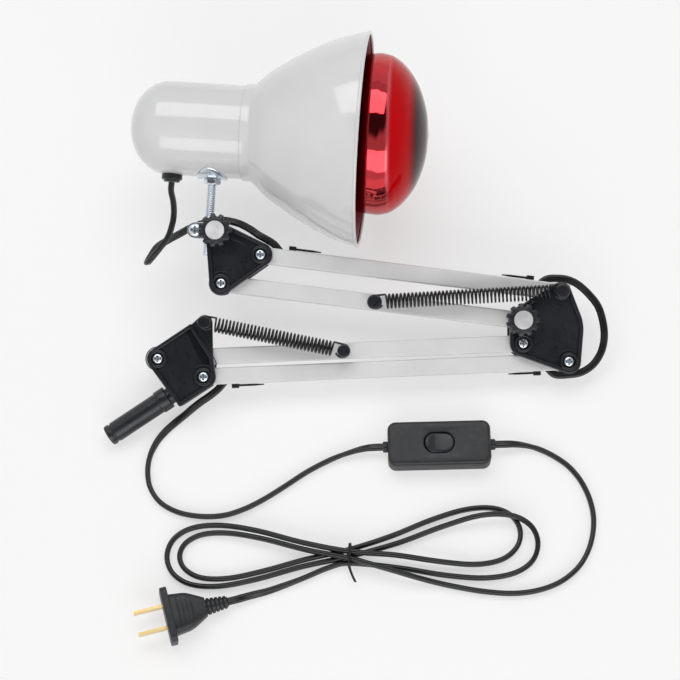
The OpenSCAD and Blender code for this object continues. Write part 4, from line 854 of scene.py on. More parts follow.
class HEATLAMP_OT_arm_lead(bpy.types.Operator):
    """Lead along the arm: grommet to head bracket, through the rods and round the elbow"""

    bl_idname = "heat_lamp.arm_lead"
    bl_label = "Lead Along the Arm"

    def execute(self, context):
        up = [0.0, 0.0, 1.0]
        head_ups = carried(tangents(HEAD_ROUTE)[::-1], up)[::-1]
        head = (HEAD_ROUTE, head_ups, ARM)
        elbow = (ELBOW_ROUTE, np.tile(up, (len(ELBOW_ROUTE), 1)), ARM)
        base = (BASE_ROUTE, STORE.pop("base_ups"), TABLE)
        head_end, elbow_end = len(HEAD_ROUTE) - 1, len(ELBOW_ROUTE) - 1
        for node, (route, ups, place), first, last, start, end, *bodies in (
            ("lead_head_loop", head, 0, CLAMP_FROM, 1, 8, "head", "stem_clamp"),
            ("lead_clamp", head, CLAMP_FROM, BRACKET_FROM, 10, 16, "stem_clamp", "head_bracket"),
            ("lead_bracket", head, BRACKET_FROM, head_end, 18, 23, "head_bracket", "upper_rod_a"),
            ("lead_elbow_upper", elbow, 0, ELBOW_MIDDLE, 3, 10, "upper_rod_a", "elbow"),
            ("lead_elbow_lower", elbow, ELBOW_MIDDLE, elbow_end, 12, 18, "elbow", "lower_rod_b"),
            ("lead_base", base, 0, TABLE_FROM, 3, 9, "lower_rod_b", "base"),
        ):
            shell, _ = lead_shell(route, ups, first, last, place, 6)
            piece = shell.made(node + "_sheath", finish("lead"))
            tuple(place(route[start]))
            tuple(place(route[end]))
            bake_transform(piece)
            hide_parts(node)
        for node, pivot, angle, long, body in (
            ("lead_in_upper_rod", H1, UPPER_ANGLE, UPPER_LEN, "upper_rod_a"),
            ("lead_in_lower_rod", P2, LOWER_ANGLE, LOWER_LEN, "lower_rod_b"),
        ):
            route = np.array([on_rod(pivot, angle, LEAD_INSIDE), on_rod(pivot, angle, long - LEAD_INSIDE)])
            shell, _ = lead_shell(route, [up, up], 0, 1, ARM, 12)
            mounted(shell.made(node + "_sheath", finish("lead")), body, "lead_black", node)
        return {"FINISHED"}


# ---- Springs ----
COIL_ACROSS, POST_R, HOOK_GAP, FIRST_TURN = 9.3, 2.4, 0.12, 1.4


def spring_path(long, turns, wire, steps=22):
    """Line of a spring's wire: an open ring round the first post, a helix of radius coil_r
    whose x runs on evenly, and an open ring round the other post, at the distance long."""
    coil_r = (COIL_ACROSS - wire) / 2
    a = coil_r + FIRST_TURN + wire
    hook_in = coil_r - POST_R - wire / 2 - HOOK_GAP
    hook = lambda x, degrees: np.column_stack([coil_r * way(degrees) + [x, 0], 0 * degrees])
    join = lambda p, q: smooth(np.vstack([p[-2], p[-1], q[0], q[1]]), 6)[7:12]
    first = hook(hook_in, np.linspace(330, 114, 22))
    last = hook(long - hook_in, np.linspace(66, -150, 22))
    k = np.arange(turns * steps + 1)
    t = np.radians(90 - 360 * k / steps)
    coil = np.column_stack([a + (long - 2 * a) * k / k[-1], coil_r * np.sin(t), coil_r * np.cos(t)])
    return np.vstack([first, join(first, coil), coil, join(coil, last), last])


class HEATLAMP_OT_springs(bpy.types.Operator):
    """The arm's two tension springs, each a wound wire with a hook round its posts"""

    bl_idname = "heat_lamp.springs"
    bl_label = "Springs"

    def execute(self, context):
        wire = sizes().wire * 1000
        for name, start, end, turns, bodies in (
            ("lower_spring", BASE_POST, LOWER_POST, 33, ("base", "lower_rod_a")),
            ("upper_spring", UPPER_POST, E1, 43, ("upper_rod_b", "elbow")),
        ):
            away = end - start
            place = ARM.on(turn("Z", math.degrees(math.atan2(away[1], away[0]))), spot(start, SPRING_Z))
            path = spring_path(float(np.linalg.norm(away)), turns, wire)
            t = tangents(path)
            grid = swept(path, t, carried(t, (0, 0, 1)), circle(wire / 2, 9))
            piece = Shells().add(grid, place).made(name + "_wire", finish("spring"))
            ends = [ARM([spot(p, SPRING_Z)])[0] for p in (start, end)]
            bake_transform(piece)
            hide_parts(name)
        return {"FINISHED"}


# ---- Moulded brackets ----
BASE_SHAPE = [
    (*P2, 7.4), (*(P2 + [1.8, 10.5]), 4), (*(P2 + [-7.5, 30.6]), 0.9), (*P1, 6.4),
    (*(P2 + [-13.7, -16.4]), 1.2),
]
BASE_ARM_SHAPE = [(*(P2 + [1.8, 10.5]), 4), (*BASE_POST, 4.6), (*(P2 + [-9, 27.5]), 1.5)]
ELBOW_SHAPE = [(*Q2, 7), (*(Q2 + [-16.5, 19]), 25), (*E1, 5.8), (*E2, 7.2), (*Q1, 8)]
HEAD_SHAPE = [(*H2, 6.9), (*H1, 7.2), (*TILT_AT, 6.2)]
BORDER, SPIGOT_ANGLE = 2.3, 213.5


def cover_shell(shape, edge):
    """Half of a bracket: from the recessed panel up the border, over it and down its side."""
    profile = [(-BORDER, PANEL), (-BORDER, COVER_OUT), (0, COVER_OUT), (0, COVER_IN), (-1.5, COVER_IN)]
    return banked(shape, rounded(profile, edge, 4), 10)


def boss(shells, centre, place, hexagon=False, rise=0.15):
    """Ring round a pivot: out from its hole, up, over and down to the bracket, 5.4 mm outside;
    the hole is a circle or, for a nut, a hexagon of 6.8 mm across flats."""
    a = (np.arange(72) * 5.0) % 60 - 30
    hexed = 3.4 / np.cos(np.radians(a)) + 0.1
    hole = hexed if hexagon else np.full(72, 3.9)
    top = COVER_OUT + rise
    rows = [(0, 2.1, PANEL - 0.9), (0, 2.1, PANEL), (1, 0, PANEL), (1, 0, top - 0.4)]
    rows += [(1, 0.12, top - 0.12), (1, 0.4, top)]
    radii = [hole * on + r for on, r, _ in rows] + [np.full(72, r) for r in (5.0, 5.28, 5.4, 5.4)]
    heights = [z for *_, z in rows] + [top, top - 0.12, top - 0.4, COVER_IN + 0.2]
    shells.add(shaped(np.array(radii), heights), place.on(origin=spot(centre)))


def ridge(shells, points, place, half=0.45, rise=0.5):
    """Raised line across a panel: a flat arch carried along the points."""
    path = smooth(np.array([spot(p, PANEL) for p in points]), 4)
    t = tangents(path)
    section = rounded([(-half, -0.3), (-half, rise), (half, rise), (half, -0.3)], 0.2, 3, ends=True)
    shells.add(swept(path, t, np.tile([0.0, 0.0, 1.0], (len(path), 1)), section), place)


FRONT = ARM
REAR = ARM.on(np.diag([1.0, 1.0, -1.0]))


def arc(centre, radius, first, last, count=10):
    return [centre + radius * way(a) for a in np.linspace(first, last, count)]


BASE_RIDGES = (
    [P2 + [-4.1, 27.2], P2 + [1.0, 19.2], P2 + [7.0, 9.8], P2 + [7.6, 6.0]],
    [P2 + [0.3, -9.0], P2 + [-2.4, -4.7], P2 + [-5.0, -0.6], P2 + [-4.6, 1.6], P2 + [-2.8, 3.4]],
)
HEAD_RIDGES = (
    [
        TILT_AT + [9.0, -4.6], H1 + [-9.4, 6.0], H1 + [-8.6, 2.6], H1 + [-9.8, -2.0], H1 + [-9.0, -6.0],
        H1 + [-5.6, -8.6],
    ],
)


def fine(grid, spacing):
    """Grid whose columns are drawn again at even steps along its second row."""
    closed = np.concatenate([grid, grid[:, :1]], axis=1)
    s = np.concatenate([[0], np.cumsum(np.linalg.norm(np.diff(closed[1], axis=0), axis=1))])
    at = np.interp(np.arange(0, s[-1] - spacing / 2, spacing), s, np.arange(len(s)))
    low = np.floor(at).astype(int)
    share = (at - low)[None, :, None]
    return closed[:, low] * (1 - share) + closed[:, low + 1] * share


def gated(grid, start, along, half):
    """Border lowered to the panel where a spring that starts inside passes over it: its height
    is eased over 0.4 mm beside the spring's half width."""
    grid = fine(grid, 0.35)
    off = grid[..., :2] - start
    beside = np.abs(off[..., 0] * along[1] - off[..., 1] * along[0])
    kept = np.where(off @ along > 0, step(beside, half, half + 0.4), 1)
    grid[..., 2] = np.where(grid[..., 2] > PANEL, PANEL + kept * (grid[..., 2] - PANEL), grid[..., 2])
    return grid


class HEATLAMP_OT_brackets(bpy.types.Operator):
    """Base, elbow and head brackets: two moulded halves each, with border, bosses and ridges"""

    bl_idname = "heat_lamp.brackets"
    bl_label = "Brackets"

    def execute(self, context):
        edge = sizes().edge * 1000
        for name, node, shape, body, pivots, plain in (
            ("base", "base_{}_cover", BASE_SHAPE, "base", (P1, P2), ()),
            ("elbow", "elbow_{}_cover", ELBOW_SHAPE, "elbow", (Q1, Q2), (E1, E2)),
            ("head_bracket", "head_bracket_{}", HEAD_SHAPE, "head_bracket", (H1, H2), (TILT_AT,)),
        ):
            front, rear = Shells(), Shells()
            wall = cover_shell(shape, edge)
            rear.add(wall, REAR)
            front.add(gated(wall, E1, unit(UPPER_POST - E1), 4.3) if name == "elbow" else wall, FRONT)
            for p in pivots:
                boss(front, p, FRONT)
                ridge(front, arc(p, 7.0, 0, 350, 30), FRONT, 0.3, 0.35)
            for line in {"base": BASE_RIDGES, "head_bracket": HEAD_RIDGES}.get(name, ()):
                ridge(front, line, FRONT, 0.3, 0.6)
            for p in plain:
                disc = [(0, PANEL - 1), (5.0, PANEL - 1), (5.0, PANEL + 0.2), (0, PANEL + 0.2)]
                front.add(turned(rounded(disc, 0.3)), FRONT.on(origin=spot(p)))
            for p in (*pivots, *plain):
                boss(rear, p, REAR, hexagon=True)
            if name == "base":
                front.add(slab(BASE_ARM_SHAPE, COVER_IN, PANEL, 0.5), FRONT)
            if name == "elbow":
                for side in (front, rear):
                    self.elbow_wall(side, FRONT if side is front else REAR)
            for side, shells in (("front", front), ("rear", rear)):
                piece = shells.made(f"{name}_{side}_moulding", finish("plastic"), sharp=40)
                mounted(piece, body, "black_plastic", node.format(side))
        self.spigot()
        return {"FINISHED"}

    def elbow_wall(self, shells, place):
        """Wall along the elbow's open right edge: the outline there, 1.6 mm thick."""
        half, wall = COVER_IN / 2, 1.6
        rim = outline(ELBOW_SHAPE, 0.0, 10)
        keep = (rim[:, 0] > Q2[0] - 4) & (rim[:, 1] > Q2[1] + 9) & (rim[:, 1] < Q2[1] + 32.7)
        path = np.column_stack([rim[keep], np.full(keep.sum(), half)])
        path = smooth(path, 3)
        t = tangents(path)
        section = np.array([(0.0, -half), (wall, -half), (wall, half), (0.0, half)])
        side = np.tile([0.0, 0.0, 1.0], (len(path), 1))
        shells.add(swept(path, t, side, section), place)

    def spigot(self):
        """Mounting spigot: collar, shank with a groove near its tip, and the tongue it ends in."""
        shells = Shells()
        root = P2 - 1.8 * way(SPIGOT_ANGLE + 90) + 21.5 * way(SPIGOT_ANGLE)
        profile = [
            (0, -3), (5.2, -3), (5.2, 3.2), (7, 3.2), (7, 9.7), (6.35, 10), (6.3, 10.4), (6.3, 41.4),
            (5.7, 41.8), (5.7, 42.8), (6.3, 43.2), (6.3, 45.4), (5.7, 46), (0, 46),
        ]
        place = ARM.on(turn("Z", SPIGOT_ANGLE) @ ALONG_X, spot(root))
        shells.add(turned(rounded(profile, 0.35, 3), 96), place)
        tongue = [
            (*(P2 + [-13.4, -14.4]), 1.2), (*(P2 + [-12.2, -8]), 1), (*(P2 + [-16, -1.5]), 1),
            (*(P2 + [-22.6, -1.4]), 1),
        ]
        shells.add(slab(tongue, -COVER_IN, COVER_IN, 0.4), ARM)
        mounted(shells.made("mounting_spigot", finish("spigot"), sharp=40), "base", "black_plastic", "spigot")


# ---- Screws, nuts and bolts ----
def cross_head(shells, place, r, h, shank, shank_r):
    """Pan head with a cross recess: the dome h (1 - 0.55 (q/r)^3) at the distance q, less
    0.95 h in two crossed slots with eased walls, then the head's side and its shank."""
    around = 96
    q = np.concatenate([np.linspace(0, 0.62, 20), np.linspace(0.66, 1, 9)])[:, None] * r
    a = np.radians(np.arange(around) * 360 / around + 18)[None, :]
    x, y = q * np.cos(a), q * np.sin(a)
    dome = h * (1 - 0.55 * (q / r) ** 3) + 0 * a
    across = lambda u, v: (1 - step(np.abs(u), 0.1 * r, 0.19 * r)) * (1 - step(np.abs(v), 0.55 * r, 0.7 * r))
    z = dome - 0.95 * h * np.maximum(across(x, y), across(y, x))
    top = np.stack([x, y, z], -1)
    low = turned([(r, h * 0.2), (r * 0.98, 0), (shank_r, 0), (shank_r, -shank), (0, -shank)], around)
    low = low @ turn("Z", 18).T
    shells.add(np.concatenate([top, low]), place)


def hexagon(shells, place, flats, h, bore=0.0):
    """Hexagon nut or head whose corners are cut by a cone at both faces."""
    a = (np.arange(96) * 3.75) % 60 - 30
    flat = flats / 2 / np.cos(np.radians(a))
    cut = np.minimum(flat, flats / 2 * 1.06)
    rows = [(bore, 0), (bore + 0.3, 0), (cut * 0.98, 0), (np.minimum(flat, cut + 0.2), 0.25)]
    rows += [(flat, 0.5), (flat, h - 0.5), (np.minimum(flat, cut + 0.2), h - 0.25), (cut * 0.98, h)]
    rows += [(bore + 0.3, h), (bore, h - 0.3)]
    radii = np.array([np.broadcast_to(r, (96,)) for r, _ in rows])
    shells.add(shaped(radii, [z for _, z in rows]), place, ring=bore > 0)


class HEATLAMP_OT_fasteners(bpy.types.Operator):
    """Cross-head pivot screws, hexagon nuts and bolts, in zinc"""

    bl_idname = "heat_lamp.fasteners"
    bl_label = "Screws and Nuts"

    def execute(self, context):
        long = 2 * PANEL + 1.9
        for name, body, screws, nuts in (
            ("base", "base", (P1, P2), (P1, P2)),
            ("elbow", "elbow", (Q1, Q2), (Q1, Q2, E1, E2)),
            ("head_bracket", "head_bracket", (H1, H2), (H1, H2)),
        ):
            heads, hexes = Shells(), Shells()
            for p in screws:
                cross_head(heads, ARM.on(origin=spot(p, PANEL)), 3.1, 1.7, long, 2.0)
            for p in nuts:
                hexagon(hexes, ARM.on(origin=spot(p, -PANEL - 1.9)), 6.8, 1.9, 2.0)
            mounted(heads.made(f"{name}_cross_screws", finish("zinc")), body, "zinc", f"{name}_screws")
            mounted(hexes.made(f"{name}_hexagon_nuts", finish("zinc")), body, "zinc", f"{name}_nuts")
        bolt = Shells()
        hexagon(bolt, ARM.on(origin=spot(TILT_AT, -PANEL - 1.9)), 6.8, 1.9)
        bolt.add(turned([(0, -9.2), (2, -9.2), (2, 16), (0, 16)], 32), ARM.on(origin=spot(TILT_AT)))
        mounted(bolt.made("tilt_bolt_hexagon", finish("zinc")), "head_bracket", "zinc", "tilt_bolt")
        return {"FINISHED"}


# ---- Knobs ----
KNOB_FOOT = COVER_OUT + 0.3


def knob_shell(shells, place):
    """Knob with eleven blunt lobes: a mean radius and a share of the lobes' wave for each
    height, then a chamfer and a shallow well for the cap."""
    a = np.arange(264) * 360 / 264
    wave = np.tanh(3.0 * np.cos(np.radians(11 * a)) + 0.8)
    rows = [
        (0, 0, 0.3), (7.9, 0, 0), (8.3, 0, 0.1), (8.4, 0, 0.4), (8.4, 0, 1.7), (8.6, 0.1, 2.0),
        (8.95, 0.6, 2.1), (9.1, 0.85, 2.35), (9.1, 0.85, 6.9), (8.9, 0.85, 7.4), (8.5, 0.8, 7.75),
        (7.4, 0.3, 7.95), (7.1, 0.02, 8.1), (6.98, 0, 8.5), (6.85, 0, 8.85), (6.5, 0, 9.0),
        (6.0, 0, 9.0), (5.75, 0, 8.85), (5.72, 0, 7.9), (0, 0, 7.9),
    ]
    radii = np.array([np.maximum(mean + share * wave, 0) for mean, share, _ in rows])
    radii[0] = radii[-1] = 0
    shells.add(shaped(radii, [z for *_, z in rows]), place)


class HEATLAMP_OT_knobs(bpy.types.Operator):
    """Tilt knob and elbow knob with their pale caps"""

    bl_idname = "heat_lamp.knobs"
    bl_label = "Knobs"

    def execute(self, context):
        for name, centre, body in (("elbow_knob", E2, "elbow_knob"), ("tilt_knob", TILT_AT, "tilt_knob")):
            place = ARM.on(origin=spot(centre, KNOB_FOOT))
            black, pale = Shells(), Shells()
            knob_shell(black, place)
            cap = [(0, 7.85), (5.6, 7.85), (5.6, 8.9), (5.4, 9.25), (4.9, 9.42), (3.0, 9.6), (0, 9.66)]
            pale.add(turned(rounded(cap, 0.2), 72), place)
            mounted(black.made(name + "_lobed", finish("knob"), sharp=45), body, "black_plastic", name)
            mounted(pale.made(name + "_pale_cap", finish("cap"), sharp=50), body, "knob_grey", name + "_cap")
        return {"FINISHED"}


# ---- Stem and clamp ----
STEM_R, CLAMP_REACH = 2.8, -12.8


def threaded(r, depth, pitch, first, last, around=40, steps=10):
    """Threaded rod along z: its radius falls by depth times a rounded triangle wave of
    height / pitch less the turn, and tapers over the last thread at both ends."""
    z = np.arange(first, last + 1e-6, pitch / steps)[:, None]
    a = np.arange(around)[None, :] / around
    phase = (z / pitch - a) % 1.0
    wave = np.clip(np.abs(phase * 2 - 1) * 1.25, 0.12, 1.0)
    taper = 0.5 * step(first + pitch - z, 0, pitch) + 0.5 * step(z - last + pitch, 0, pitch)
    radii = r - depth * wave - taper * depth + 0 * a
    radii = np.vstack([0 * radii[:1], radii, 0 * radii[-1:]])
    heights = np.concatenate([[first], z[:, 0], [z[-1, 0]]])
    return shaped(radii, heights)


class HEATLAMP_OT_stem(bpy.types.Operator):
    """Threaded stem, saddle plate, nuts and the clamp's two round cheeks with their screw"""

    bl_idname = "heat_lamp.stem"
    bl_label = "Stem and Clamp"

    def execute(self, context):
        s = sizes()
        up = turn("X", -90)
        rod = Shells().add(
            threaded(STEM_R, s.thread_depth * 1000, s.thread_pitch * 1000, -75.1, -20.8), HEAD.on(up)
        )
        mounted(rod.made("threaded_stem", finish("stem"), sharp=60), "head", "zinc", "stem")
        mounted(self.saddle().made("curved_saddle", finish("zinc"), sharp=50), "head", "zinc", "saddle_plate")
        nuts = Shells()
        hexagon(nuts, HEAD.on(up, (0, -32.35, 0)), 9.0, 3.0, 2.75)
        hexagon(nuts, HEAD.on(up, (0, -25.12, 0)), 9.0, 3.0, 2.75)
        mounted(nuts.made("stem_hexagon_nuts", finish("zinc")), "head", "zinc", "stem_nuts")
        clamp, cheek = Shells(), [(0, 0, 5), (CLAMP_REACH, 0, 4.9)]
        place = ARM.on(turn("Z", HEAD_TILT), spot(TILT_AT))
        far = lambda z=0.0: place.on(origin=(CLAMP_REACH, 0, z))
        for z0 in (2.85, -4.35):
            clamp.add(slab(cheek, z0, z0 + 1.5, 0.3), place)
        clamp.add(turned([(0, -2.85), (2.4, -2.85), (2.4, 2.85), (0, 2.85)], 48), far())
        mounted(clamp.made("folded_clamp", finish("zinc"), sharp=50), "stem_clamp", "zinc", "stem_clamp")
        screw = Shells()
        cross_head(screw, far(4.35), 3.8, 2.2, 11.1, 1.55)
        hexagon(screw, far(-6.55), 5.5, 2.2, 1.55)
        mounted(screw.made("clamp_cross_screw", finish("zinc")), "stem_clamp", "zinc", "clamp_screw")
        return {"FINISHED"}

    def saddle(self):
        """Oval plate curved over the neck: x = 9 q cos a, z = 16 q sin a and
        y = -sqrt(R^2 - z^2), with R from 28.05 to 29.35, and its edge rounded."""
        a = np.radians(np.arange(96) * 3.75)[None, :]
        rows = [(0.18, 28.1), (0.18, 29.3), (0.3, 29.35), (0.6, 29.35), (0.85, 29.35), (0.95, 29.33)]
        rows += [(0.985, 29.1), (1.0, 28.7), (0.985, 28.2), (0.95, 28.07), (0.6, 28.05), (0.3, 28.05)]
        q = np.array([r for r, _ in rows])[:, None]
        out = np.array([r for _, r in rows])[:, None]
        hole = 2.9 / np.hypot(9 * np.cos(a), 16 * np.sin(a))
        q = np.where(q < 0.2, hole, q)
        x, z = 9 * q * np.cos(a), 16 * q * np.sin(a)
        return Shells().add(np.stack([x, -np.sqrt(out**2 - z**2), z], -1), HEAD, ring=True)


# ---- Shade and neck ----
NECK_R, SHEET, NECK_FRONT, NECK_BACK, DOME_DEEP = 28.0, 1.0, 23.0, -51.0, 23.0
SHADE_LEN, RIM_R, BEAD_R = 66.0, 63.8, 1.2
BULB_R, BULB_END, GLASS = 47.8, 127.7, 1.2


def shade_line():
    """The bell's outside, [radius, x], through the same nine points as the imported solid."""
    flare = RIM_R - NECK_R - SHEET
    share = [0, 0.10, 0.25, 0.40, 0.575, 0.725, 0.85, 0.945, 1]
    along = [0, 0.06, 0.15, 0.27, 0.42, 0.57, 0.72, 0.87, 1]
    return smooth([(NECK_R + SHEET + flare * s, NECK_FRONT + SHADE_LEN * t) for s, t in zip(share, along)], 8)


def inside(line, thickness):
    """A profile moved along its own normals."""
    t = unit(np.gradient(line, axis=0))
    return line + thickness * np.column_stack([-t[:, 1], t[:, 0]])


class HEATLAMP_OT_shade(bpy.types.Operator):
    """Bell shade with its collar and rolled bead, and the domed neck cup"""

    bl_idname = "heat_lamp.shade"
    bl_label = "Shade"

    def execute(self, context):
        along = HEAD.on(ALONG_X)
        outer = shade_line()
        inner = inside(outer, SHEET)[1:-1]
        rim_x = NECK_FRONT + SHADE_LEN
        t = np.radians(np.linspace(150, -150, 22))
        bead = BEAD_R * np.column_stack([np.sin(t), -0.9 * np.cos(t)]) + [RIM_R - 0.4 * BEAD_R, rim_x]
        skirt = rounded([(28.1, 18), (28.8, 18), (29.0, 18.4), (29.0, 22.4)], 0.2)
        closed = np.vstack([skirt, outer[1:-2], outer[-1:], inner[::-1], [(28.1, NECK_FRONT)]])
        bell = Shells()
        bell.add(turned(closed, 192), along, ring=True)
        bell.add(turned(bead, 192), along, ring=True)
        piece = bell.made("enamelled_bell", finish("enamel"), finish("lining"), sharp=50)
        self.line(piece)
        mounted(piece, "head", "shade_enamel", "bell_shade")

        a = np.radians(np.linspace(0, 90, 26))
        shoulder = NECK_BACK + DOME_DEEP
        dome = np.column_stack([NECK_R * np.sin(a), shoulder - DOME_DEEP * np.cos(a)])
        hollow = np.column_stack([(NECK_R - SHEET) * np.sin(a), shoulder - (DOME_DEEP - SHEET) * np.cos(a)])
        wall = [(NECK_R, -10), (NECK_R, 10), (NECK_R, NECK_FRONT)]
        cup = np.vstack([dome, wall, [(r - SHEET, x) for r, x in reversed(wall)], hollow[::-1]])
        neck = Shells().add(turned(cup, 160), along)
        mounted(neck.made("domed_neck", finish("enamel"), sharp=50), "head", "shade_enamel", "neck_cup")
        return {"FINISHED"}

    def line(self, piece):
        """Gives the lining to the faces that look towards the shade's axis, short of its rim."""
        mesh = piece.data
        middle = np.zeros(len(mesh.polygons) * 3, np.float32)
        normal = np.zeros_like(middle)
        mesh.polygons.foreach_get("center", middle)
        mesh.polygons.foreach_get("normal", normal)
        local = (middle.reshape(-1, 3) * 1000 - HEAD.origin) @ HEAD.matrix
        facing = normal.reshape(-1, 3) @ HEAD.matrix
        out = np.column_stack([0 * local[:, 0], local[:, 1], local[:, 2]])
        hidden = (np.sum(out * facing, axis=1) < 0) & (local[:, 0] < NECK_FRONT + SHADE_LEN - 0.5)
        mesh.polygons.foreach_set("material_index", hidden.astype(np.int32))


class HEATLAMP_OT_bulb(bpy.types.Operator):
    """Ruby bulb with its screw cap, ceramic holder, holder bracket and the lead's grommet"""

    bl_idname = "heat_lamp.bulb"
    bl_label = "Bulb and Holder"

    def execute(self, context):
        along = HOLDER.on(ALONG_X)
        r, end = BULB_R, BULB_END
        line = smooth([
            (12.6, 15), (12.6, 19), (13.4, 22), (18, 30), (24, 40), (31.5, 52), (39.5, 66),
            (r * 0.945, end - 48), (r, end - 32), (r * 0.992, end - 26), (r * 0.945, end - 20),
            (r * 0.816, end - 12.9), (r * 0.6, end - 6.2), (r * 0.3, end - 1.5), (0, end),
        ], 8)
        inner = inside(line, GLASS)
        inner[-1] = (0, end - GLASS)
        glass = Shells().add(turned(np.vstack([line, inner[::-1]]), 160), along)
        mounted(glass.made("ruby_bulb", finish("ruby"), sharp=60), "bulb", "ruby_glass", "bulb_glass")
        for node, body, name in (
            ("bulb_cap", "bulb", "zinc"),
            ("lamp_holder", "head", "ceramic"),
            ("holder_shell", "head", "brass"),
            ("holder_bracket", "head", "zinc"),
        ):
            dress(node, name)
        collar = Shells()
        ring = [
            (0, 0), (2.4, 0), (4.4, 0), (5.9, 0), (6.2, 0.35), (6.2, 3.0), (5.9, 3.3), (5.0, 3.4), (4.8, 3.7),
            (4.8, 4.4), (4.6, 4.6), (3.2, 4.6), (3.0, 4.5), (0, 4.5),
        ]
        place = HEAD.on(turn("X", 90), (GROMMET_X, -NECK_R + 0.25, 0))
        collar.add(turned(rounded(ring, 0.2), 72), place)
        piece = collar.made("lead_grommet", finish("plastic"), sharp=45)
        mounted(piece, "head", "black_plastic", "cord_grommet")
        return {"FINISHED"}


# ---- Posts, rods and ties ----
def dress(node, name):
    """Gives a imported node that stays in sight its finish."""
    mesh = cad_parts[node].data
    mesh.materials.clear()
    mesh.materials.append(finish(name))


class HEATLAMP_OT_rods(bpy.types.Operator):
    """White rods, spring posts, bolts and the ties that hold the lead"""

    bl_idname = "heat_lamp.rods"
    bl_label = "Rods and Posts"

    def execute(self, context):
        for node in ("lower_rod_a", "lower_rod_b", "upper_rod_a", "upper_rod_b"):
            dress(node, "rod")
        dress("elbow_knob_bolt", "zinc")
        for name, node, centre, body, foot, head, cap in (
            ("base_post", "base_spring_post", BASE_POST, "base", -6.8, 4.0, 3.6),
            ("lower_post", "lower_rod_post", LOWER_POST, "lower_rod_a", -17.2, 3.9, 3.4),
            ("upper_post", "upper_rod_post", UPPER_POST, "upper_rod_b", -17.2, 4.4, 3.9),
            ("elbow_post", "elbow_spring_post", E1, "elbow", -21.4, 4.4, 3.8),
        ):
            low = [(0, foot), (POST_R, foot), (POST_R, -2.6), (head, -2.6), (head, -1.5), (POST_R, -1.2)]
            brim = 2.5
            if node == "elbow_spring_post":
                low = [(0, foot), (2, foot), (2, -5.4), (5, -5.4), (5, -1.7), (POST_R, -1.3)]
                brim = 2.6
            top = [(POST_R, 1.2), (head, 1.5), (head, brim), (cap, 3.35), (cap * 0.5, 3.4), (0, 3.4)]
            profile = low + top
            post = Shells().add(turned(rounded(profile, 0.4, 3), 64), ARM.on(origin=spot(centre, SPRING_Z)))
            mounted(post.made(name + "_turned", finish("plastic"), sharp=45), body, "black_plastic", node)
        for name, pivot, angle, long, side, body in (
            ("lower_rod_ties", P2, LOWER_ANGLE, LOWER_LEN, -1, "lower_rod_b"),
            ("upper_rod_ties", H1, UPPER_ANGLE, UPPER_LEN, 1, "upper_rod_a"),
        ):
            shells = Shells()
            for x, facing in ((18.5, 1), (long - 18.5, -1)):
                self.tie(shells, ARM.on(turn("Z", angle), spot(pivot)), x, side, facing)
            piece = shells.made(name + "_nylon", finish("knob"), sharp=45)
            mounted(piece, body, "black_plastic", name)
        return {"FINISHED"}

    def tie(self, shells, rod, x, side, facing):
        """Cable tie on the rod's wall: its head, and its tail, which narrows over the last third."""
        place = rod.on(np.diag([float(facing), float(side), 1.0]), (x, side * 5.0, 0))
        head = slab(box_corners(-2.2, 2.2, -2.2, 2.2, 0.6), 0, 2.6, 0.35)
        shells.add(head, place.on(turn("X", -90)))
        s = np.linspace(0, 1, 16)[:, None]
        path = np.column_stack([2.1 + 15.0 * s[:, 0], np.full(16, 1.05), np.zeros(16)])
        section = rounded([(-1.2, -0.65), (1.2, -0.65), (1.2, 0.65), (-1.2, 0.65)], 0.3, 3, ends=True)
        grid = swept(path, tangents(path), np.tile([0.0, 1.0, 0.0], (16, 1)), section)
        taper = 1 - 0.45 * step(s, 0.6, 1.0)
        middle = path[:, None]
        shells.add(middle + (grid - middle) * taper[:, None], place)


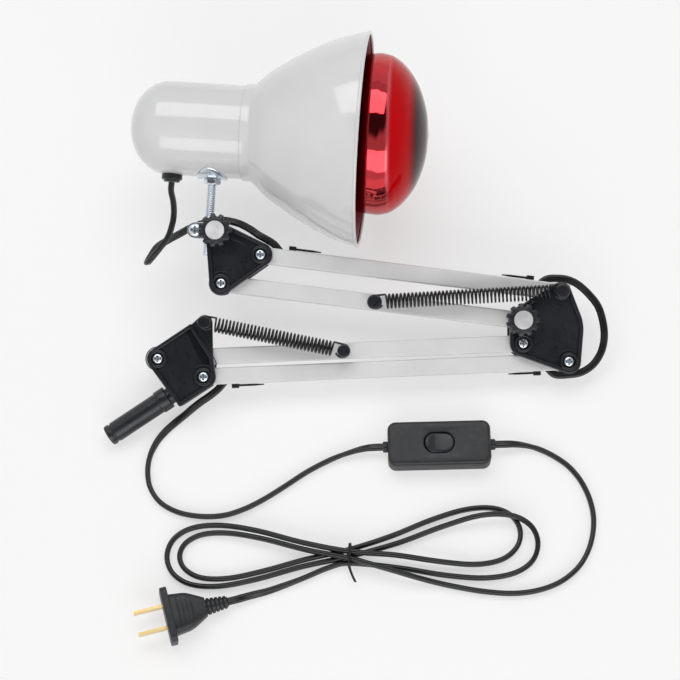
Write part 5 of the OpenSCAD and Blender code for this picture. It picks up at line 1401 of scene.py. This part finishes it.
# ---- Inline switch, tie and plug ----
class HEATLAMP_OT_switch(bpy.types.Operator):
    """Inline switch: two halves with a seam, an oval well and a rocker"""

    bl_idname = "heat_lamp.switch"
    bl_label = "Switch"

    def execute(self, context):
        x, y = SWITCH_L / 2, SWITCH_W / 2
        body = box_corners(-x, x, -y, y, 5)
        lower, upper = Shells(), Shells()
        seam = CORD_LEVEL
        low = [(-5, 0), (-0.8, 0), (0, 0.8), (0, seam - 0.15), (-0.35, seam), (-3, seam)]
        lower.add(banked(body, rounded(low, 0.3), 12), SWITCH)
        self.cover(upper, x, y)
        for side in (-1, 1):
            ring = [(0, 0), (3.3, 0), (3.3, 2.4), (3.0, 2.9), (2.7, COLLAR_OUT), (0, COLLAR_OUT)]
            place = SWITCH.on(turn("Y", 90 * side), (side * (x - 0.05), 0, CORD_LEVEL))
            lower.add(turned(rounded(ring, 0.3), 48), place)
        housing = lower.made("switch_housing", finish("switch"), sharp=40)
        mounted(housing, "base", "switch_black", "switch_base")
        mounted(upper.made("switch_lid", finish("switch"), sharp=40), "base", "switch_black", "switch_cover")
        rocker = self.rocker().made("oval_rocker", finish("knob"), sharp=45)
        mounted(rocker, "rocker", "switch_black", "switch_rocker")
        return {"FINISHED"}

    def cover(self, shells, x, y):
        """Upper half as one surface from the well's floor up its oval wall, over the flat top to
        the rounded edge and down to the seam: rows go from the oval to the housing's outline."""
        n = 96
        rows = [(0, -1.2, 7.6), (0, -0.2, 7.6), (0, 0, 7.9), (0, 0, 13.2), (0, 0.15, 13.6), (0, 0.5, 13.75)]
        rows += [(0.04, 0.8, 13.75), (0.35, 0.6, 14.0), (0.7, 0.2, 14.0)]
        ring = lambda g: outline([(2.7, 0, 6.4), (-2.7, 0, 6.4)], g, 47)
        grids = []
        for share, g, z in rows:
            flat = ring(g) * (1 - share) + outline(box_corners(-x, x, -y, y, 5), -2.4, 23) * share
            grids.append(np.column_stack([flat, np.full(n, z)]))
        seam = CORD_LEVEL
        for g, z in (
            (-2.4, SWITCH_H), (-1.6, 13.9), (-0.9, 13.5), (-0.35, 12.8),
            (0, 11.8), (0, seam + 0.2), (-0.35, seam), (-3, seam),
        ):
            grids.append(np.column_stack([outline(box_corners(-x, x, -y, y, 5), g, 23), np.full(n, z)]))
        shells.add(np.stack(grids), SWITCH)

    def rocker(self):
        """Oval rocker tilted by 7 degrees: the height of its top is 2 + 1.2 (x/7)^2 mm over the
        axle, less the drop towards its edge."""
        place = SWITCH.on(turn("Y", 7), (0, 0, 11.2))
        oval = [(2.7, 0, 6.1), (-2.7, 0, 6.1)]
        rows = []
        for g, drop in ((-6.05, 0), (-4, 0), (-2, 0), (-1.1, 0.03), (-0.5, 0.2), (-0.12, 0.55), (0, 1.1)):
            p = outline(oval, g, 30, least=0.02)
            rows.append(np.column_stack([p, 2 + 1.2 * np.clip(np.abs(p[:, 0]) / 7, 0, 1) ** 2 - drop]))
        p = outline(oval, 0, 30)
        rows.append(np.column_stack([p, np.full(len(p), -1.6)]))
        rows.append(np.column_stack([outline(oval, -1, 30), np.full(len(p), -1.8)]))
        return Shells().add(np.stack(rows), place)


class HEATLAMP_OT_plug(bpy.types.Operator):
    """Moulded plug with flange, drawn-in body, ribbed relief and two brass blades"""

    bl_idname = "heat_lamp.plug"
    bl_label = "Plug"

    def execute(self, context):
        shells = Shells()
        flange = slab(box_corners(-9, 9, -16.3, 16.3, 4), 0, 4, 0.8, 10)
        shells.add(flange, PLUG.on(ALONG_X))
        rows = [
            (3.5, 12.1, 7.0), (5, 11.9, 6.9), (9, 11.4, 6.75), (13, 10.8, 6.6), (16, 9.7, 6.3),
            (18.4, 8.4, 5.95), (21, 7.0, 5.5), (23, 5.9, 5.15), (24, 5.3, 4.9),
        ]
        line = smooth(rows, 4)
        a = np.radians(np.arange(96) * 3.75)
        c, s = np.cos(a), np.sin(a)
        y = line[:, 1:2] * np.sign(c) * np.abs(c) ** 0.42
        z = line[:, 2:3] * np.sign(s) * np.abs(s) ** 0.5
        shells.add(np.stack([np.broadcast_to(line[:, :1], y.shape), y, z], -1), PLUG)
        self.finger_ribs(shells)
        t = np.linspace(0, 1, 120)
        wave = step(np.abs((t * 7) % 1 - 0.36), 0.3, 0.42)
        radius = 5.6 + (3.6 - 5.6) * t - 0.85 * wave
        relief = np.column_stack([radius, RELIEF_FROM + (RELIEF_END - RELIEF_FROM) * t])
        shells.add(turned(np.vstack([(0, 18), (5, 18), relief, (0, RELIEF_END)]), 64), PLUG.on(ALONG_X))
        mounted(shells.made("moulded_plug", finish("switch"), sharp=45), "base", "switch_black", "plug_body")
        dress("plug_blades", "brass")
        return {"FINISHED"}

    def finger_ribs(self, shells):
        """Four low ribs across each broad face of the plug's body."""
        for x in (8.0, 10.6, 13.2, 15.8):
            for side in (-1, 1):
                half = 8.6 - (x - 8) * 0.28
                y = np.linspace(-half, half, 12)
                z = side * (6.55 - (x - 8) * 0.05 - 0.35 * (np.abs(y) / half) ** 4)
                path = np.column_stack([np.full(12, x), y, z])
                ups = np.tile([0.0, 0.0, 1.0], (12, 1))
                shells.add(swept(path, tangents(path), ups, circle(0.55, 10)), PLUG)


class HEATLAMP_OT_tie(bpy.types.Operator):
    """Black wire tie: a loop round the strands and two ends twisted together"""

    bl_idname = "heat_lamp.tie"
    bl_label = "Wire Tie"

    def execute(self, context):
        shells = Shells()
        half, top, r = 6.3, 10.4, 2.2
        x, low, high = half - r, r + 0.8, top - r
        corners = [(x, low, r), (x, high, r), (-x, high, r), (-x, low, r)]
        loop = outline(corners, 0.4, 10)
        tie = TABLE.on(origin=(*TIE_AT, 0.05))
        phase = np.arange(len(loop)) / len(loop) * 2 * np.pi
        path = np.column_stack([0.25 * np.sin(phase), loop])
        path = np.vstack([path, path[:1]])
        t = unit(np.roll(path[:-1], -1, 0) - np.roll(path[:-1], 1, 0))
        ups = np.tile([1.0, 0.0, 0.0], (len(t), 1))
        for shift in (-0.42, 0.42):
            shells.add(swept(path[:-1] + [shift, 0, 0], t, ups, circle(0.4, 10)), tie, ring=True)
        s = np.linspace(0, 1, 60)
        for side in (0, 1):
            a = 2 * np.pi * (s * 4.5) + side * np.pi
            line = np.column_stack([0.42 * np.cos(a), -6.5 - 8.6 * s, 4.0 + 0.42 * np.sin(a)])
            line[:, 0] += 3.4 * s**1.3
            t = tangents(line)
            shells.add(swept(line, t, carried(t, (0, 0, 1)), circle(0.4, 10)), tie)
        piece = shells.made("wire_tie", finish("lead"), sharp=50)
        mounted(piece, "base", "lead_black", "twist_tie")
        return {"FINISHED"}


# ---- Panel and registration ----
class HEATLAMP_PT_panel(bpy.types.Panel):
    bl_label = "Heat Lamp"
    bl_idname = "HEATLAMP_PT_panel"
    bl_space_type = "VIEW_3D"
    bl_region_type = "UI"
    bl_category = "Heat Lamp"

    def draw(self, context):
        scene = context.scene
        for group in (scene.heat_lamp_sizes, scene.heat_lamp_colours, scene.heat_lamp_stage):
            box = self.layout.box()
            for name in group.__annotations__:
                box.prop(group, name)
        for operator in OPERATORS:
            self.layout.operator(operator.bl_idname)


GROUPS = {
    "heat_lamp_sizes": HeatLampSizes,
    "heat_lamp_colours": HeatLampColours,
    "heat_lamp_stage": HeatLampStage,
}
OPERATORS = (
    HEATLAMP_OT_stage, HEATLAMP_OT_cords, HEATLAMP_OT_arm_lead, HEATLAMP_OT_springs, HEATLAMP_OT_brackets,
    HEATLAMP_OT_fasteners, HEATLAMP_OT_knobs, HEATLAMP_OT_stem, HEATLAMP_OT_shade, HEATLAMP_OT_bulb,
    HEATLAMP_OT_rods, HEATLAMP_OT_switch, HEATLAMP_OT_plug, HEATLAMP_OT_tie,
)


def register():
    for kind in (*GROUPS.values(), *OPERATORS, HEATLAMP_PT_panel):
        bpy.utils.register_class(kind)
    for name, group in GROUPS.items():
        setattr(bpy.types.Scene, name, bpy.props.PointerProperty(type=group))


def unregister():
    for name in GROUPS:
        delattr(bpy.types.Scene, name)
    for kind in reversed((*GROUPS.values(), *OPERATORS, HEATLAMP_PT_panel)):
        bpy.utils.unregister_class(kind)


def main():
    register()
    for operator in OPERATORS:
        family, name = operator.bl_idname.split(".")
        getattr(getattr(bpy.ops, family), name)()
    declare_cords()


if __name__ == "__main__":
    main()
